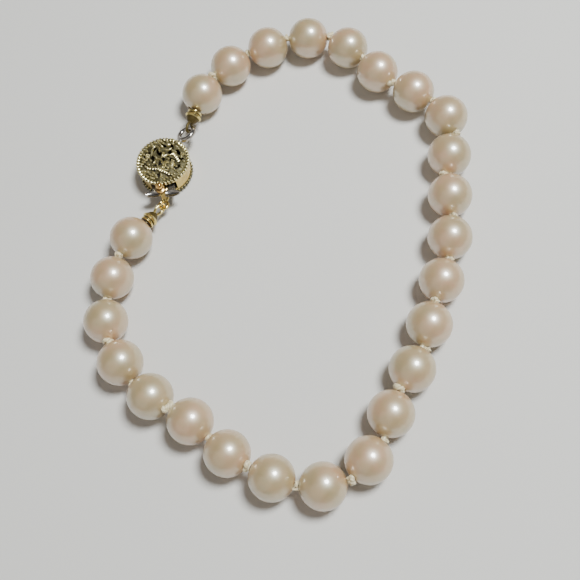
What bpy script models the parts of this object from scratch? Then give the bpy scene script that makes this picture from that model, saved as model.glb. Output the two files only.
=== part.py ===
"""A bracelet of round pearls knotted on silk in one row, closed with a pierced oval box clasp.

It lies on the table as an open loop with the clasp fastened, as it is photographed. Units are metres, +Z is up.
"""

import math

import bmesh
import bpy
from mathutils import Matrix, Vector

MM = 0.001

# Pearls: drilled and round, all of one size. The facet under each one is level, so the row stands on facets.
PEARL_COUNT = 25
PEARL_DIAMETER = 6.5 * MM
PEARL_SIDES = 16
PEARL_BANDS = 7
BORE_DIAMETER = 1.1 * MM

# Silk: one thread through every pearl, with a knot in each space between two pearls.
THREAD_DIAMETER = 0.44 * MM
THREAD_SIDES = 6
KNOT_DIAMETER = 1.3 * MM
KNOT_SPACE = 0.4 * MM
KNOT_OUTWARD = 1.0
# Rows of a knot: place along it in knot spaces, and bulk from 0 at the thread's size to 1 at the knot's.
KNOT_ROWS = ((-1.4, 0.0), (-0.7, 0.3), (-0.25, 0.8), (0.0, 1.0), (0.25, 0.8), (0.7, 0.3), (1.4, 0.0))

# Route of the row: a few points of the closed loop, in shares of its length, from the first pearl onwards.
ROUTE = (
    (-0.090, 0.387),
    (0.033, 0.453),
    (0.194, 0.441),
    (0.281, 0.309),
    (0.369, 0.184),
    (0.332, 0.049),
    (0.292, -0.080),
    (0.199, -0.238),
    (0.114, -0.341),
    (-0.009, -0.459),
    (-0.157, -0.408),
    (-0.247, -0.295),
    (-0.345, -0.179),
    (-0.368, -0.028),
    (-0.296, 0.097),
    (-0.196, 0.245),
)
ROUTE_STEPS = 24

# Bead tips: a ribbed cup that takes the end of the thread, with a wire loop soldered to its narrow end.
TIP_RIB_DIAMETER = 2.6 * MM
TIP_LENGTH = 1.95 * MM
TIP_SIDES = 14
TIP_SEAT = 0.08 * MM
TIP_HOLE_DIAMETER = 1.1 * MM
TIP_HOLE_DEPTH = 1.1 * MM
# Rows of the cup: place in shares of its length, radius in shares of the rib's.
TIP_ROWS = (
    (0.0, 0.74),
    (0.04, 0.86),
    (0.16, 0.86),
    (0.22, 0.74),
    (0.28, 0.74),
    (0.34, 0.93),
    (0.43, 1.0),
    (0.52, 0.96),
    (0.6, 0.8),
    (0.8, 0.52),
    (1.0, 0.34),
)
# The two loops were closed by hand: the one beside the last pearl is longer.
LAST_LOOP_LENGTH = 2.6 * MM
FIRST_LOOP_LENGTH = 2.1 * MM
LOOP_WIDTH = 1.9 * MM
LOOP_WIRE = 0.45 * MM
LOOP_SINK = 0.25 * MM
LOOP_TURN = 65.0
WIRE_SIDES = 6
WIRE_STEPS = 14
LINK_PLAY = 0.08 * MM

# Clasp box: an oval wall with a rope rim above and below and a domed pierced plate on both faces.
CLASP_LENGTH = 8.8 * MM
CLASP_WIDTH = 8.5 * MM
CLASP_SIDES = 32
WALL_HEIGHT = 3.0 * MM
WALL_THICKNESS = 0.35 * MM
PLATE_THICKNESS = 0.4 * MM
DOME_RISE = 0.5 * MM
# Rings of the dome, in shares of the oval, and the rise of the hollow under it in shares of the dome's.
DOME_RINGS = (0.45, 0.8)
CAVITY_RISE = 0.9
ROPE_DIAMETER = 0.6 * MM
ROPE_GRAINS = 36
ROPE_WAIST = 0.72
ROPE_SIDES = 5
MOUTH_WIDTH = 4.4 * MM
MOUTH_HEIGHT = 1.8 * MM
# Openings of the pierced plates, in shares of the clasp's half length and half width: place along and across,
# length and width, and the turn of the length from the clasp's axis in degrees.
OPENINGS = (
    (0.63, 0.02, 0.26, 0.19, 60.0),
    (0.51, 0.33, 0.26, 0.19, -20.0),
    (0.55, -0.32, 0.26, 0.18, 10.0),
    (0.26, 0.59, 0.28, 0.19, -50.0),
    (0.31, 0.14, 0.31, 0.20, 30.0),
    (0.30, -0.57, 0.26, 0.19, 40.0),
    (0.24, -0.24, 0.26, 0.19, -20.0),
    (0.04, 0.37, 0.32, 0.20, 10.0),
    (0.02, -0.65, 0.26, 0.19, 80.0),
    (-0.03, -0.36, 0.26, 0.19, 60.0),
    (-0.06, 0.02, 0.34, 0.20, -30.0),
    (-0.24, 0.60, 0.26, 0.20, 50.0),
    (-0.32, -0.54, 0.28, 0.19, -60.0),
    (-0.35, -0.18, 0.28, 0.19, 20.0),
    (-0.33, 0.25, 0.26, 0.19, -10.0),
    (-0.61, -0.22, 0.26, 0.18, 50.0),
    (-0.63, 0.12, 0.26, 0.18, -70.0),
)
OPENING_SIDES = 6

# Ring of the box: silver, soldered high on the wall on a short post, a little off the clasp's axis.
RING_DIAMETER = 3.0 * MM
RING_WIRE = 0.55 * MM
RING_OFF_AXIS = -34.0
RING_LIFT = 1.1 * MM
RING_REACH = 0.75 * MM
RING_TURN = -28.0

# Tongue: a spring leaf folded in the box, with wings, a stem and a ring outside it and a ball to press.
LEAF_WIDTH = 3.5 * MM
LEAF_THICKNESS = 0.3 * MM
LEAF_SPREAD = 1.1 * MM
LEAF_DEPTH = 6.2 * MM
WING_SPAN = 5.2 * MM
WING_LENGTH = 1.2 * MM
WING_CLEARANCE = 0.5 * MM
STEM_WIDTH = 1.9 * MM
STEM_NECK = 0.9 * MM
TONGUE_RING_DIAMETER = 1.75 * MM
TONGUE_RING_WIRE = 0.45 * MM
TONGUE_REACH = 2.45 * MM
BALL_DIAMETER = 1.0 * MM
BALL_LIFT = 2.05 * MM
COLLAR_DIAMETER = 1.4 * MM
BALL_OUT = 0.55 * MM
# Radii of the button that carries the ball, in shares: its neck of the collar, its foot and shoulder of the ball.
BALL_NECK = 0.5
BALL_FOOT = 0.6
BALL_SHOULDER = 0.7

# How the fastened clasp lies between the end pearls, in degrees: turns to the left seen from the last pearl.
TIP_TURN = -14.6
CLASP_TURN = 23.0
CLASP_PITCH = 3.0
CLASP_ROLL = 2.0
REST_CLEARANCE = 0.03 * MM

PEARL_COLOUR = (0.80, 0.72, 0.58)
SILK_COLOUR = (0.78, 0.70, 0.58)
GOLD_COLOUR = (0.66, 0.50, 0.20)
ANTIQUE_GOLD_COLOUR = (0.52, 0.42, 0.20)
SILVER_COLOUR = (0.62, 0.57, 0.50)


def clear_scene():
    for item in list(bpy.data.objects):
        bpy.data.objects.remove(item, do_unlink=True)


def make_material(name, colour, roughness, metallic):
    material = bpy.data.materials.new(name)
    material.use_nodes = True
    shader = material.node_tree.nodes["Principled BSDF"]
    shader.inputs["Base Color"].default_value = (*colour, 1.0)
    shader.inputs["Roughness"].default_value = roughness
    shader.inputs["Metallic"].default_value = metallic
    return material


def add_object(name, verts, faces, material=None):
    mesh = bpy.data.meshes.new(name)
    mesh.from_pydata([tuple(v) for v in verts], [], faces)
    shape = bmesh.new()
    shape.from_mesh(mesh)
    bmesh.ops.recalc_face_normals(shape, faces=shape.faces)
    shape.to_mesh(mesh)
    shape.free()
    mesh.shade_smooth()
    mesh.set_sharp_from_angle(angle=math.radians(40))
    item = bpy.data.objects.new(name, mesh)
    bpy.context.scene.collection.objects.link(item)
    if material:
        mesh.materials.append(material)
    return item


def combine(item, tool, operation):
    """Add a Boolean of the tool to the item and keep the tool out of sight."""
    modifier = item.modifiers.new(tool.name, "BOOLEAN")
    modifier.operation = operation
    modifier.solver = "EXACT"
    modifier.object = tool
    tool.hide_render = True
    tool.display_type = "WIRE"
    tool.parent = item


def strip_faces(rows, sides, closed_rows):
    """Quads between successive rows of points; closed_rows joins the last row to the first."""
    faces = []
    count = rows if closed_rows else rows - 1
    for row in range(count):
        here = row * sides
        there = (row + 1) % rows * sides
        for side in range(sides):
            after = (side + 1) % sides
            faces.append((here + side, here + after, there + after, there + side))
    return faces


def lathe(name, profile, sides, material=None):
    """Turn a profile of (along, radius) pairs about X. Its first and last radius are zero."""
    verts = [(profile[0][0], 0.0, 0.0), (profile[-1][0], 0.0, 0.0)]
    rings = profile[1:-1]
    for along, radius in rings:
        for side in range(sides):
            angle = 2 * math.pi * side / sides
            verts.append((along, radius * math.cos(angle), radius * math.sin(angle)))
    faces = [tuple(corner + 2 for corner in face) for face in strip_faces(len(rings), sides, False)]
    last = 2 + (len(rings) - 1) * sides
    for side in range(sides):
        after = (side + 1) % sides
        faces.append((0, 2 + after, 2 + side))
        faces.append((1, last + side, last + after))
    return add_object(name, verts, faces, material)


def wire_ring(name, length, width, wire, material=None):
    """An oval ring of round wire in the XY plane; length and width are outer sizes."""
    verts = []
    for step in range(WIRE_STEPS):
        turn = 2 * math.pi * step / WIRE_STEPS
        outward = Vector((math.cos(turn), math.sin(turn), 0.0))
        centre = Vector(((length - wire) / 2 * outward.x, (width - wire) / 2 * outward.y, 0.0))
        for side in range(WIRE_SIDES):
            angle = 2 * math.pi * side / WIRE_SIDES
            offset = outward * math.cos(angle) + Vector((0.0, 0.0, math.sin(angle)))
            verts.append(centre + offset * wire / 2)
    return add_object(name, verts, strip_faces(WIRE_STEPS, WIRE_SIDES, True), material)


def block(name, low, high, material=None):
    verts = [(x, y, z) for x in (low[0], high[0]) for y in (low[1], high[1]) for z in (low[2], high[2])]
    faces = [(0, 1, 3, 2), (4, 6, 7, 5), (0, 4, 5, 1), (2, 3, 7, 6), (0, 2, 6, 4), (1, 5, 7, 3)]
    return add_object(name, verts, faces, material)


def extrude_outline(name, outline, lift, material=None):
    """A prism on an outline of 3-D points, raised by the vector lift."""
    count = len(outline)
    verts = [Vector(p) for p in outline] + [Vector(p) + lift for p in outline]
    faces = [tuple(range(count)), tuple(range(count, 2 * count))]
    faces += [(i, (i + 1) % count, count + (i + 1) % count, count + i) for i in range(count)]
    return add_object(name, verts, faces, material)


def aim(direction, turn=0.0):
    """A rotation that lays X along the direction, keeps Y level and then turns about X by degrees."""
    forward = Vector(direction).normalized()
    left = Vector((0.0, 0.0, 1.0)).cross(forward).normalized()
    up = forward.cross(left)
    frame = Matrix((forward, left, up)).transposed()
    return (frame @ Matrix.Rotation(math.radians(turn), 3, "X")).to_4x4()


def route_curve(scale):
    """The closed route as a fine polyline, starting at the first pearl."""
    points = [Vector(p) * scale for p in ROUTE]
    count = len(points)
    curve = []
    for i in range(count):
        before, start, end, beyond = (points[(i + k) % count] for k in (-1, 0, 1, 2))
        for step in range(ROUTE_STEPS):
            t = step / ROUTE_STEPS
            linear = (end - before) * t
            square = (before * 2 - start * 5 + end * 4 - beyond) * t * t
            cube = (start * 3 - before - end * 3 + beyond) * t**3
            curve.append((start * 2 + linear + square + cube) / 2)
    return curve


def walk_pearls(scale):
    """Pearl centres in plan: equal chords of one pearl and one knot space, laid off along the route."""
    curve = route_curve(scale)
    pitch = PEARL_DIAMETER + KNOT_SPACE
    centres = [curve[0]]
    index = 0
    while len(centres) < PEARL_COUNT:
        here = centres[-1]
        while (curve[(index + 1) % len(curve)] - here).length < pitch:
            index += 1
        start = curve[index % len(curve)]
        end = curve[(index + 1) % len(curve)]
        low, high = 0.0, 1.0
        for _ in range(30):
            middle = (low + high) / 2
            if (start.lerp(end, middle) - here).length < pitch:
                low = middle
            else:
                high = middle
        centres.append(start.lerp(end, low))
    return centres


def lay_out_pearls(end_distance):
    """Scale the route until the clasp just spans from the last pearl to the first."""
    curve = route_curve(1.0)
    around = sum((curve[i] - curve[i - 1]).length for i in range(len(curve)))
    scale = ((PEARL_COUNT - 1) * (PEARL_DIAMETER + KNOT_SPACE) + end_distance) / around
    low, high = scale * 0.97, scale * 1.07
    for _ in range(40):
        middle = (low + high) / 2
        centres = walk_pearls(middle)
        if (centres[-1] - centres[0]).length < end_distance:
            low = middle
        else:
            high = middle
    return walk_pearls(high)


def mouth_angle():
    return math.asin(BORE_DIAMETER / PEARL_DIAMETER)


def pearl_rest_height():
    """Height of a pearl's centre when the facet in the middle of its underside is on the table."""
    band = (math.pi - 2 * mouth_angle()) / PEARL_BANDS
    return PEARL_DIAMETER / 2 * math.cos(band / 2) * math.cos(math.pi / PEARL_SIDES)


def make_pearl(name, off_centre, material):
    """A drilled pearl about its own centre: the bore runs along X, off centre along Y by the given amount."""
    radius = PEARL_DIAMETER / 2
    bore = BORE_DIAMETER / 2
    verts = []
    for row in range(PEARL_BANDS + 1):
        polar = mouth_angle() + (math.pi - 2 * mouth_angle()) * row / PEARL_BANDS
        for side in range(PEARL_SIDES):
            angle = 2 * math.pi * (side + 0.5) / PEARL_SIDES
            if row in (0, PEARL_BANDS):
                y = off_centre + bore * math.cos(angle)
                z = bore * math.sin(angle)
                x = math.copysign(math.sqrt(radius**2 - y * y - z * z), math.cos(polar))
            else:
                y = radius * math.sin(polar) * math.cos(angle)
                z = radius * math.sin(polar) * math.sin(angle)
                x = radius * math.cos(polar)
            verts.append((x, y, z))
    return add_object(name, verts, strip_faces(PEARL_BANDS + 1, PEARL_SIDES, True), material)


def knot_points(centres):
    """Knots in plan, half way between pearls and moved to the outside of the bend there."""
    bends = [0.0]
    for i in range(1, PEARL_COUNT - 1):
        arriving = centres[i] - centres[i - 1]
        leaving = centres[i + 1] - centres[i]
        bends.append(arriving.angle_signed(leaving))
    bends.append(0.0)
    knots = []
    for i in range(PEARL_COUNT - 1):
        along = (centres[i + 1] - centres[i]).normalized()
        right = Vector((along.y, -along.x))
        reach = (PEARL_DIAMETER + KNOT_SPACE) / 2
        sway = (math.sin(bends[i] / 2) + math.sin(bends[i + 1] / 2)) / 2 * reach * KNOT_OUTWARD
        knots.append((centres[i] + centres[i + 1]) / 2 - right * sway)
    return knots


def make_thread(start, knots, end, material):
    """One closed body from the start points through all the knots to the end points."""
    rings = []
    thread = THREAD_DIAMETER / 2
    knot = KNOT_DIAMETER / 2
    points = start + knots + end
    for i, point in enumerate(points):
        arriving = (point - points[i - 1]).normalized() if i else None
        leaving = (points[i + 1] - point).normalized() if i + 1 < len(points) else None
        if arriving is None or leaving is None:
            rings.append((point, arriving or leaving, thread))
            continue
        if not len(start) <= i < len(start) + len(knots):
            rings.append((point, (arriving + leaving).normalized(), thread))
            continue
        for along, bulk in KNOT_ROWS:
            heading = leaving if along > 0 else arriving
            facing = heading if along else (arriving + leaving).normalized()
            rings.append((point + heading * along * KNOT_SPACE, facing, thread + (knot - thread) * bulk))
    verts = []
    for centre, facing, radius in rings:
        left = Vector((0.0, 0.0, 1.0)).cross(facing).normalized()
        up = facing.cross(left)
        for side in range(THREAD_SIDES):
            angle = 2 * math.pi * side / THREAD_SIDES
            verts.append(centre + (left * math.cos(angle) + up * math.sin(angle)) * radius)
    faces = strip_faces(len(rings), THREAD_SIDES, False)
    faces.append(tuple(range(THREAD_SIDES)))
    faces.append(tuple(range(len(verts) - THREAD_SIDES, len(verts))))
    return add_object("silk_thread", verts, faces, material)


def loop_centre(loop_length):
    """Distance from the centre of an end pearl to the centre of its bead tip's loop."""
    return PEARL_DIAMETER / 2 + TIP_SEAT + TIP_LENGTH - LOOP_SINK + loop_length / 2


def link_distance(loop_length, ring_diameter, ring_wire):
    """Distance from an end pearl's centre to the centre of the clasp ring that its loop hangs in."""
    loop_half = loop_length / 2 - LOOP_WIRE
    ring_half = ring_diameter / 2 - ring_wire
    return loop_centre(loop_length) + loop_half + ring_half - LINK_PLAY


def make_bead_tip(name, loop_length, turn, material):
    """A bead tip along X, with the end pearl's centre at the origin."""
    rib = TIP_RIB_DIAMETER / 2
    start = PEARL_DIAMETER / 2 + TIP_SEAT
    hole = TIP_HOLE_DIAMETER / 2
    profile = [(start + TIP_HOLE_DEPTH, 0.0), (start + TIP_HOLE_DEPTH, hole), (start, hole)]
    profile += [(start + along * TIP_LENGTH, radius * rib) for along, radius in TIP_ROWS]
    profile.append((start + TIP_LENGTH, 0.0))
    tip = lathe(name, profile, TIP_SIDES, material)
    loop = wire_ring(name + "_loop", loop_length, LOOP_WIDTH, LOOP_WIRE)
    place = Matrix.Translation((loop_centre(loop_length), 0, 0))
    loop.matrix_local = place @ Matrix.Rotation(math.radians(turn), 4, "X")
    combine(tip, loop, "UNION")
    return tip


def oval_point(angle, inset, height):
    """A point of the clasp's oval, moved in from its outline by the inset."""
    return (
        (CLASP_LENGTH / 2 - inset) * math.cos(angle),
        (CLASP_WIDTH / 2 - inset) * math.sin(angle),
        height,
    )


def oval_body(name, rows, material=None):
    """A closed body on the clasp's oval. Rows are (share of the inset oval, inset, height)."""
    verts = [(0.0, 0.0, rows[0][2]), (0.0, 0.0, rows[-1][2])]
    for share, inset, height in rows[1:-1]:
        for side in range(CLASP_SIDES):
            x, y, z = oval_point(2 * math.pi * side / CLASP_SIDES, inset, height)
            verts.append((x * share, y * share, z))
    rings = len(rows) - 2
    faces = [tuple(corner + 2 for corner in face) for face in strip_faces(rings, CLASP_SIDES, False)]
    last = 2 + (rings - 1) * CLASP_SIDES
    for side in range(CLASP_SIDES):
        after = (side + 1) % CLASP_SIDES
        faces.append((0, 2 + after, 2 + side))
        faces.append((1, last + side, last + after))
    return add_object(name, verts, faces, material)


def dome_rows(inset, rim, rise):
    """Rows of a lens-shaped body: two domes on an upright wall."""
    rows = [(0.0, inset, -rim - rise)]
    rows += [(share, inset, -rim - rise * (1 - share**2)) for share in DOME_RINGS]
    rows += [(1.0, inset, -rim), (1.0, inset, rim)]
    rows += [(share, inset, rim + rise * (1 - share**2)) for share in reversed(DOME_RINGS)]
    rows.append((0.0, inset, rim + rise))
    return rows


def make_rope(name, height):
    """A rim of soldered rope: a ring whose wire swells and narrows with each grain."""
    verts = []
    steps = ROPE_GRAINS * 2
    for step in range(steps):
        turn = 2 * math.pi * step / steps
        radius = ROPE_DIAMETER / 2 * (ROPE_WAIST if step % 2 else 1.0)
        centre = Vector(oval_point(turn, ROPE_DIAMETER / 2, height))
        outward = Vector((math.cos(turn), math.sin(turn), 0.0))
        for side in range(ROPE_SIDES):
            angle = 2 * math.pi * side / ROPE_SIDES
            verts.append(centre + (outward * math.cos(angle) + Vector((0, 0, math.sin(angle)))) * radius)
    return add_object(name, verts, strip_faces(steps, ROPE_SIDES, True))


def make_openings(name):
    """Cutters for the pierced plates: one prism for each opening, through both plates."""
    verts, faces = [], []
    half = WALL_HEIGHT / 2 + DOME_RISE + ROPE_DIAMETER
    for along, across, length, width, turn in OPENINGS:
        first = len(verts)
        for height in (-half, half):
            for side in range(OPENING_SIDES):
                angle = 2 * math.pi * side / OPENING_SIDES
                swing = math.radians(turn)
                u = length / 2 * math.cos(angle)
                v = width / 2 * math.sin(angle)
                x = CLASP_LENGTH / 2 * (along + u * math.cos(swing) - v * math.sin(swing))
                y = CLASP_WIDTH / 2 * (across + u * math.sin(swing) + v * math.cos(swing))
                verts.append((x, y, height))
        bottom = tuple(range(first, first + OPENING_SIDES))
        faces.append(bottom)
        faces.append(tuple(corner + OPENING_SIDES for corner in bottom))
        for side in range(OPENING_SIDES):
            after = (side + 1) % OPENING_SIDES
            faces.append((first + side, first + after, first + OPENING_SIDES + after, first + OPENING_SIDES + side))
    return add_object(name, verts, faces)


def ring_place():
    """Centre of the box's ring, and the direction in which it stands off the wall, in the clasp's frame."""
    turn = math.radians(RING_OFF_AXIS)
    foot = Vector(oval_point(turn, ROPE_DIAMETER / 2, RING_LIFT))
    outward = Vector((math.cos(turn), math.sin(turn), 0.0))
    return foot + outward * (RING_REACH + RING_DIAMETER / 2), outward


def make_clasp_box(material):
    rim = WALL_HEIGHT / 2
    inset = ROPE_DIAMETER / 2
    box = oval_body("clasp_box", dome_rows(inset, rim, DOME_RISE), material)
    cavity_rows = dome_rows(inset + WALL_THICKNESS, rim - PLATE_THICKNESS, DOME_RISE * CAVITY_RISE)
    combine(box, oval_body("box_cavity", cavity_rows), "DIFFERENCE")
    combine(box, make_openings("plate_openings"), "DIFFERENCE")
    low = (-CLASP_LENGTH, -MOUTH_WIDTH / 2, -MOUTH_HEIGHT / 2)
    high = (-CLASP_LENGTH / 4, MOUTH_WIDTH / 2, MOUTH_HEIGHT / 2)
    combine(box, block("box_mouth", low, high), "DIFFERENCE")
    for side, height in (("upper", rim), ("lower", -rim)):
        combine(box, make_rope(side + "_rope", height), "UNION")
    centre, outward = ring_place()
    ring = wire_ring("box_ring", RING_DIAMETER, RING_DIAMETER, RING_WIRE)
    ring.matrix_local = Matrix.Translation(centre) @ aim(outward, RING_TURN)
    combine(box, ring, "UNION")
    post_length = RING_REACH + WALL_THICKNESS / 2 + RING_WIRE / 2
    post = lathe("box_post", [(0, 0), (0, RING_WIRE / 2), (post_length, RING_WIRE / 2), (post_length, 0)], 8)
    foot = centre - outward * (RING_DIAMETER / 2 + RING_REACH + WALL_THICKNESS / 2)
    post.matrix_local = Matrix.Translation(foot) @ aim(outward)
    combine(box, post, "UNION")
    return box


def make_tongue(material):
    """The folded leaf with what is soldered to it, in the clasp's frame; the mouth is at -X."""
    front = -CLASP_LENGTH / 2
    fold = front + LEAF_DEPTH
    wing_end = front - WING_CLEARANCE
    wing_start = wing_end - WING_LENGTH
    thick = LEAF_THICKNESS
    half = LEAF_SPREAD / 2
    stem_start = wing_start + WING_LENGTH / 2
    profile = (
        (stem_start, -half),
        (fold - thick, -half),
        (fold, -half / 2),
        (fold, half / 2),
        (fold - thick, half),
        (wing_start, half),
        (wing_start, half - thick),
        (fold - 2 * thick, half - thick),
        (fold - 2 * thick, thick - half),
        (stem_start, thick - half),
    )
    outline = [Vector((x, -LEAF_WIDTH / 2, z)) for x, z in profile]
    tongue = extrude_outline("clasp_tongue", outline, Vector((0, LEAF_WIDTH, 0)), material)
    low_wing = (wing_start, -WING_SPAN / 2, half - thick)
    combine(tongue, block("wings", low_wing, (wing_end, WING_SPAN / 2, half)), "UNION")
    ring_x = front - TONGUE_REACH
    ring_edge = ring_x + TONGUE_RING_DIAMETER / 2 - TONGUE_RING_WIRE / 2
    stem = [
        (stem_start + thick, -STEM_WIDTH / 2, -half),
        (ring_edge, -STEM_NECK / 2, -half),
        (ring_edge, STEM_NECK / 2, -half),
        (stem_start + thick, STEM_WIDTH / 2, -half),
    ]
    combine(tongue, extrude_outline("stem", stem, Vector((0, 0, thick))), "UNION")
    ring = wire_ring("tongue_ring", TONGUE_RING_DIAMETER, TONGUE_RING_DIAMETER, TONGUE_RING_WIRE)
    ring.location = (ring_x, 0, -half + thick / 2)
    combine(tongue, ring, "UNION")
    ball = BALL_DIAMETER / 2
    collar = COLLAR_DIAMETER / 2
    foot = half - thick / 2
    top = BALL_LIFT + ball
    profile = [
        (foot, 0),
        (foot, collar),
        (half + thick / 2, collar),
        (half + thick, collar * BALL_NECK),
        (BALL_LIFT - ball * math.sqrt(1 - BALL_FOOT**2), ball * BALL_FOOT),
        (BALL_LIFT, ball),
        (BALL_LIFT + ball * math.sqrt(1 - BALL_SHOULDER**2), ball * BALL_SHOULDER),
        (top, 0),
    ]
    button = lathe("ball", profile, 10)
    button.matrix_local = Matrix.Translation((front - BALL_OUT, 0, 0)) @ Matrix.Rotation(-math.pi / 2, 4, "Y")
    combine(tongue, button, "UNION")
    return tongue


def clasp_frame(heading, centre):
    """The clasp's frame: X along the heading, its far end lower by the pitch, its left side raised by the roll."""
    turn = Matrix.Rotation(heading, 4, "Z")
    pitch = Matrix.Rotation(math.radians(CLASP_PITCH), 4, "Y")
    roll = Matrix.Rotation(math.radians(CLASP_ROLL), 4, "X")
    return Matrix.Translation(centre) @ turn @ pitch @ roll


def clasp_rest_height():
    """Height of the clasp's centre when its lower rim, tilted, touches the table."""
    reach = math.hypot(
        CLASP_LENGTH / 2 * math.sin(math.radians(CLASP_PITCH)),
        CLASP_WIDTH / 2 * math.sin(math.radians(CLASP_ROLL)),
    )
    return WALL_HEIGHT / 2 + max(ROPE_DIAMETER / 2 + reach, DOME_RISE) + REST_CLEARANCE


def clasp_run():
    """Plan of the fastened clasp from the last pearl at the origin to the first pearl on the X axis.

    Returns the distance between those pearls, the clasp's frame, and the centres of its two rings.
    """
    pearl_height = pearl_rest_height()
    frame = clasp_frame(math.radians(CLASP_TURN), (0, 0, clasp_rest_height()))
    tongue_ring = frame @ Vector((-CLASP_LENGTH / 2 - TONGUE_REACH, 0, -(LEAF_SPREAD - LEAF_THICKNESS) / 2))
    box_ring = frame @ ring_place()[0]
    near = link_distance(LAST_LOOP_LENGTH, TONGUE_RING_DIAMETER, TONGUE_RING_WIRE)
    far = link_distance(FIRST_LOOP_LENGTH, RING_DIAMETER, RING_WIRE)
    level = math.sqrt(near**2 - (pearl_height - tongue_ring.z) ** 2)
    turn = math.radians(TIP_TURN)
    shift = Vector((level * math.cos(turn), level * math.sin(turn), 0)) - Vector((tongue_ring.x, tongue_ring.y, 0))
    tongue_ring += shift
    box_ring += shift
    level = math.sqrt(far**2 - (pearl_height - box_ring.z) ** 2)
    distance = box_ring.x + math.sqrt(level**2 - box_ring.y**2)
    return distance, Matrix.Translation(shift) @ frame, tongue_ring, box_ring


def centre_on_origin(items, others):
    """Move everything so that the middle of the items' outline is over the origin."""
    corners = [item.matrix_world @ vert.co for item in items for vert in item.data.vertices]
    middle = [(min(c[k] for c in corners) + max(c[k] for c in corners)) / 2 for k in (0, 1)]
    shift = Matrix.Translation((-middle[0], -middle[1], 0))
    for item in items + others:
        item.matrix_world = shift @ item.matrix_world


def build():
    clear_scene()
    pearl = make_material("pearl", PEARL_COLOUR, 0.25, 0.0)
    silk = make_material("silk", SILK_COLOUR, 0.8, 0.0)
    gold = make_material("gold", GOLD_COLOUR, 0.3, 1.0)
    antique = make_material("antique_gold", ANTIQUE_GOLD_COLOUR, 0.35, 1.0)
    silver = make_material("silver", SILVER_COLOUR, 0.3, 1.0)

    distance, frame, tongue_ring, box_ring = clasp_run()
    plan = lay_out_pearls(distance)
    height = Vector((0, 0, pearl_rest_height()))
    centres = [p.to_3d() + height for p in plan]
    knots = [p.to_3d() + height for p in knot_points(plan)]
    along = plan[0] - plan[-1]
    run = Matrix.Translation(plan[-1].to_3d()) @ Matrix.Rotation(math.atan2(along.y, along.x), 4, "Z")

    tips = []
    thread_ends = []
    ends = (
        ("bead_tip_a", centres[-1], run @ tongue_ring, LAST_LOOP_LENGTH, LOOP_TURN),
        ("bead_tip_b", centres[0], run @ box_ring, FIRST_LOOP_LENGTH, 90.0 - RING_TURN),
    )
    for name, centre, target, loop_length, turn in ends:
        tip = make_bead_tip(name, loop_length, turn, gold)
        heading = aim(target - centre)
        tip.matrix_world = Matrix.Translation(centre) @ heading
        depth = PEARL_DIAMETER / 2 + TIP_SEAT + TIP_HOLE_DEPTH - KNOT_SPACE
        mouth = heading @ Vector((PEARL_DIAMETER / 2, 0, 0))
        mouth.z /= 2
        thread_ends.append([centre + mouth, centre + heading @ Vector((depth, 0, 0))])
        tips.append(tip)
    last_end, first_end = thread_ends
    thread = make_thread(first_end[::-1], knots, last_end, silk)

    pearls = []
    points = [first_end[0]] + knots + [last_end[0]]
    for i, centre in enumerate(centres):
        line = (points[i + 1] - points[i]).to_2d().normalized()
        left = Vector((-line.y, line.x))
        off_centre = (points[i] - centre).to_2d().dot(left)
        item = make_pearl("pearl_%02d" % (i + 1), off_centre, pearl)
        item.matrix_world = Matrix.Translation(centre) @ Matrix.Rotation(math.atan2(line.y, line.x), 4, "Z")
        pearls.append(item)

    box = make_clasp_box(antique)
    tongue = make_tongue(silver)
    for item in (box, tongue):
        item.matrix_world = run @ frame
    bpy.context.view_layer.update()
    centre_on_origin(pearls, [thread, box, tongue] + tips)
    bpy.context.view_layer.update()


build()
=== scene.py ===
"""Looks of the knotted pearl bracelet: nacre, twisted silk, a pierced gilt clasp and the studio."""

import logging
import math
import random
from dataclasses import dataclass
from enum import Enum
from typing import Any, Union

import bpy
import numpy as np
from mathutils import Matrix, Vector


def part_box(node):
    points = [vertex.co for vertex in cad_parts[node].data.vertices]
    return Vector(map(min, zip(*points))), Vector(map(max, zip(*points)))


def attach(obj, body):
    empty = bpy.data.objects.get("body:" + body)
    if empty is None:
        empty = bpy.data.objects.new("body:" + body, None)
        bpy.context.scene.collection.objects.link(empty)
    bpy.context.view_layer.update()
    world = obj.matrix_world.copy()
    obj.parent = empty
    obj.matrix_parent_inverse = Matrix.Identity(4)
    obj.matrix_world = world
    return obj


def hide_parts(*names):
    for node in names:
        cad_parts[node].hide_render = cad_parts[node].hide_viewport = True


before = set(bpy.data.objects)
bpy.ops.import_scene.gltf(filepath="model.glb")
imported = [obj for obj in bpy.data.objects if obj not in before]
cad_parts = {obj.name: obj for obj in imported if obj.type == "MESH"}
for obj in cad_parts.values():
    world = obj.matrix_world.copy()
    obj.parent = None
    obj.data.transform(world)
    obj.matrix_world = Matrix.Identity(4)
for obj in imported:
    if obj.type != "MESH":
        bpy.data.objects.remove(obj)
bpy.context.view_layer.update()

MM = 0.001
PHOTO_WIDTH = 580.0
UP = Vector((0.0, 0.0, 1.0))

Colour = tuple[float, float, float]
Value = Union["Wire", float, Colour]
Ring = list[Vector]

log = logging.getLogger("bracelet")

# Tubes: a path rising more than this takes its first side from X; a groove between strands gets this much
# painted shade.
STEEP = 0.9
GROOVE_SHADE = 0.9
# Edges sharper than this stay sharp, in degrees.
SHARP_ANGLE = 38.0
# Granules: points round them, distance of end rings from the poles, in steps, and the painted shade at their
# foot.
GRANULE_SIDES = 12
GRANULE_POLE = 0.25
GRANULE_SHADE = 0.55
# Grains: rings, points round them, distance of end rings from the poles, painted shade at half height and its
# fall with height.
GRAIN_STEPS = 6
GRAIN_SIDES = 8
GRAIN_POLE = 0.3
GRAIN_SHADE = 0.3
GRAIN_SHADE_FALL = 0.9
# Points round a plain wire.
WIRE_SIDES = 16


def turns(count: int) -> list[float]:
    """Return angles that go once round in equal steps."""
    return [2 * math.pi * k / count for k in range(count)]


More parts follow.
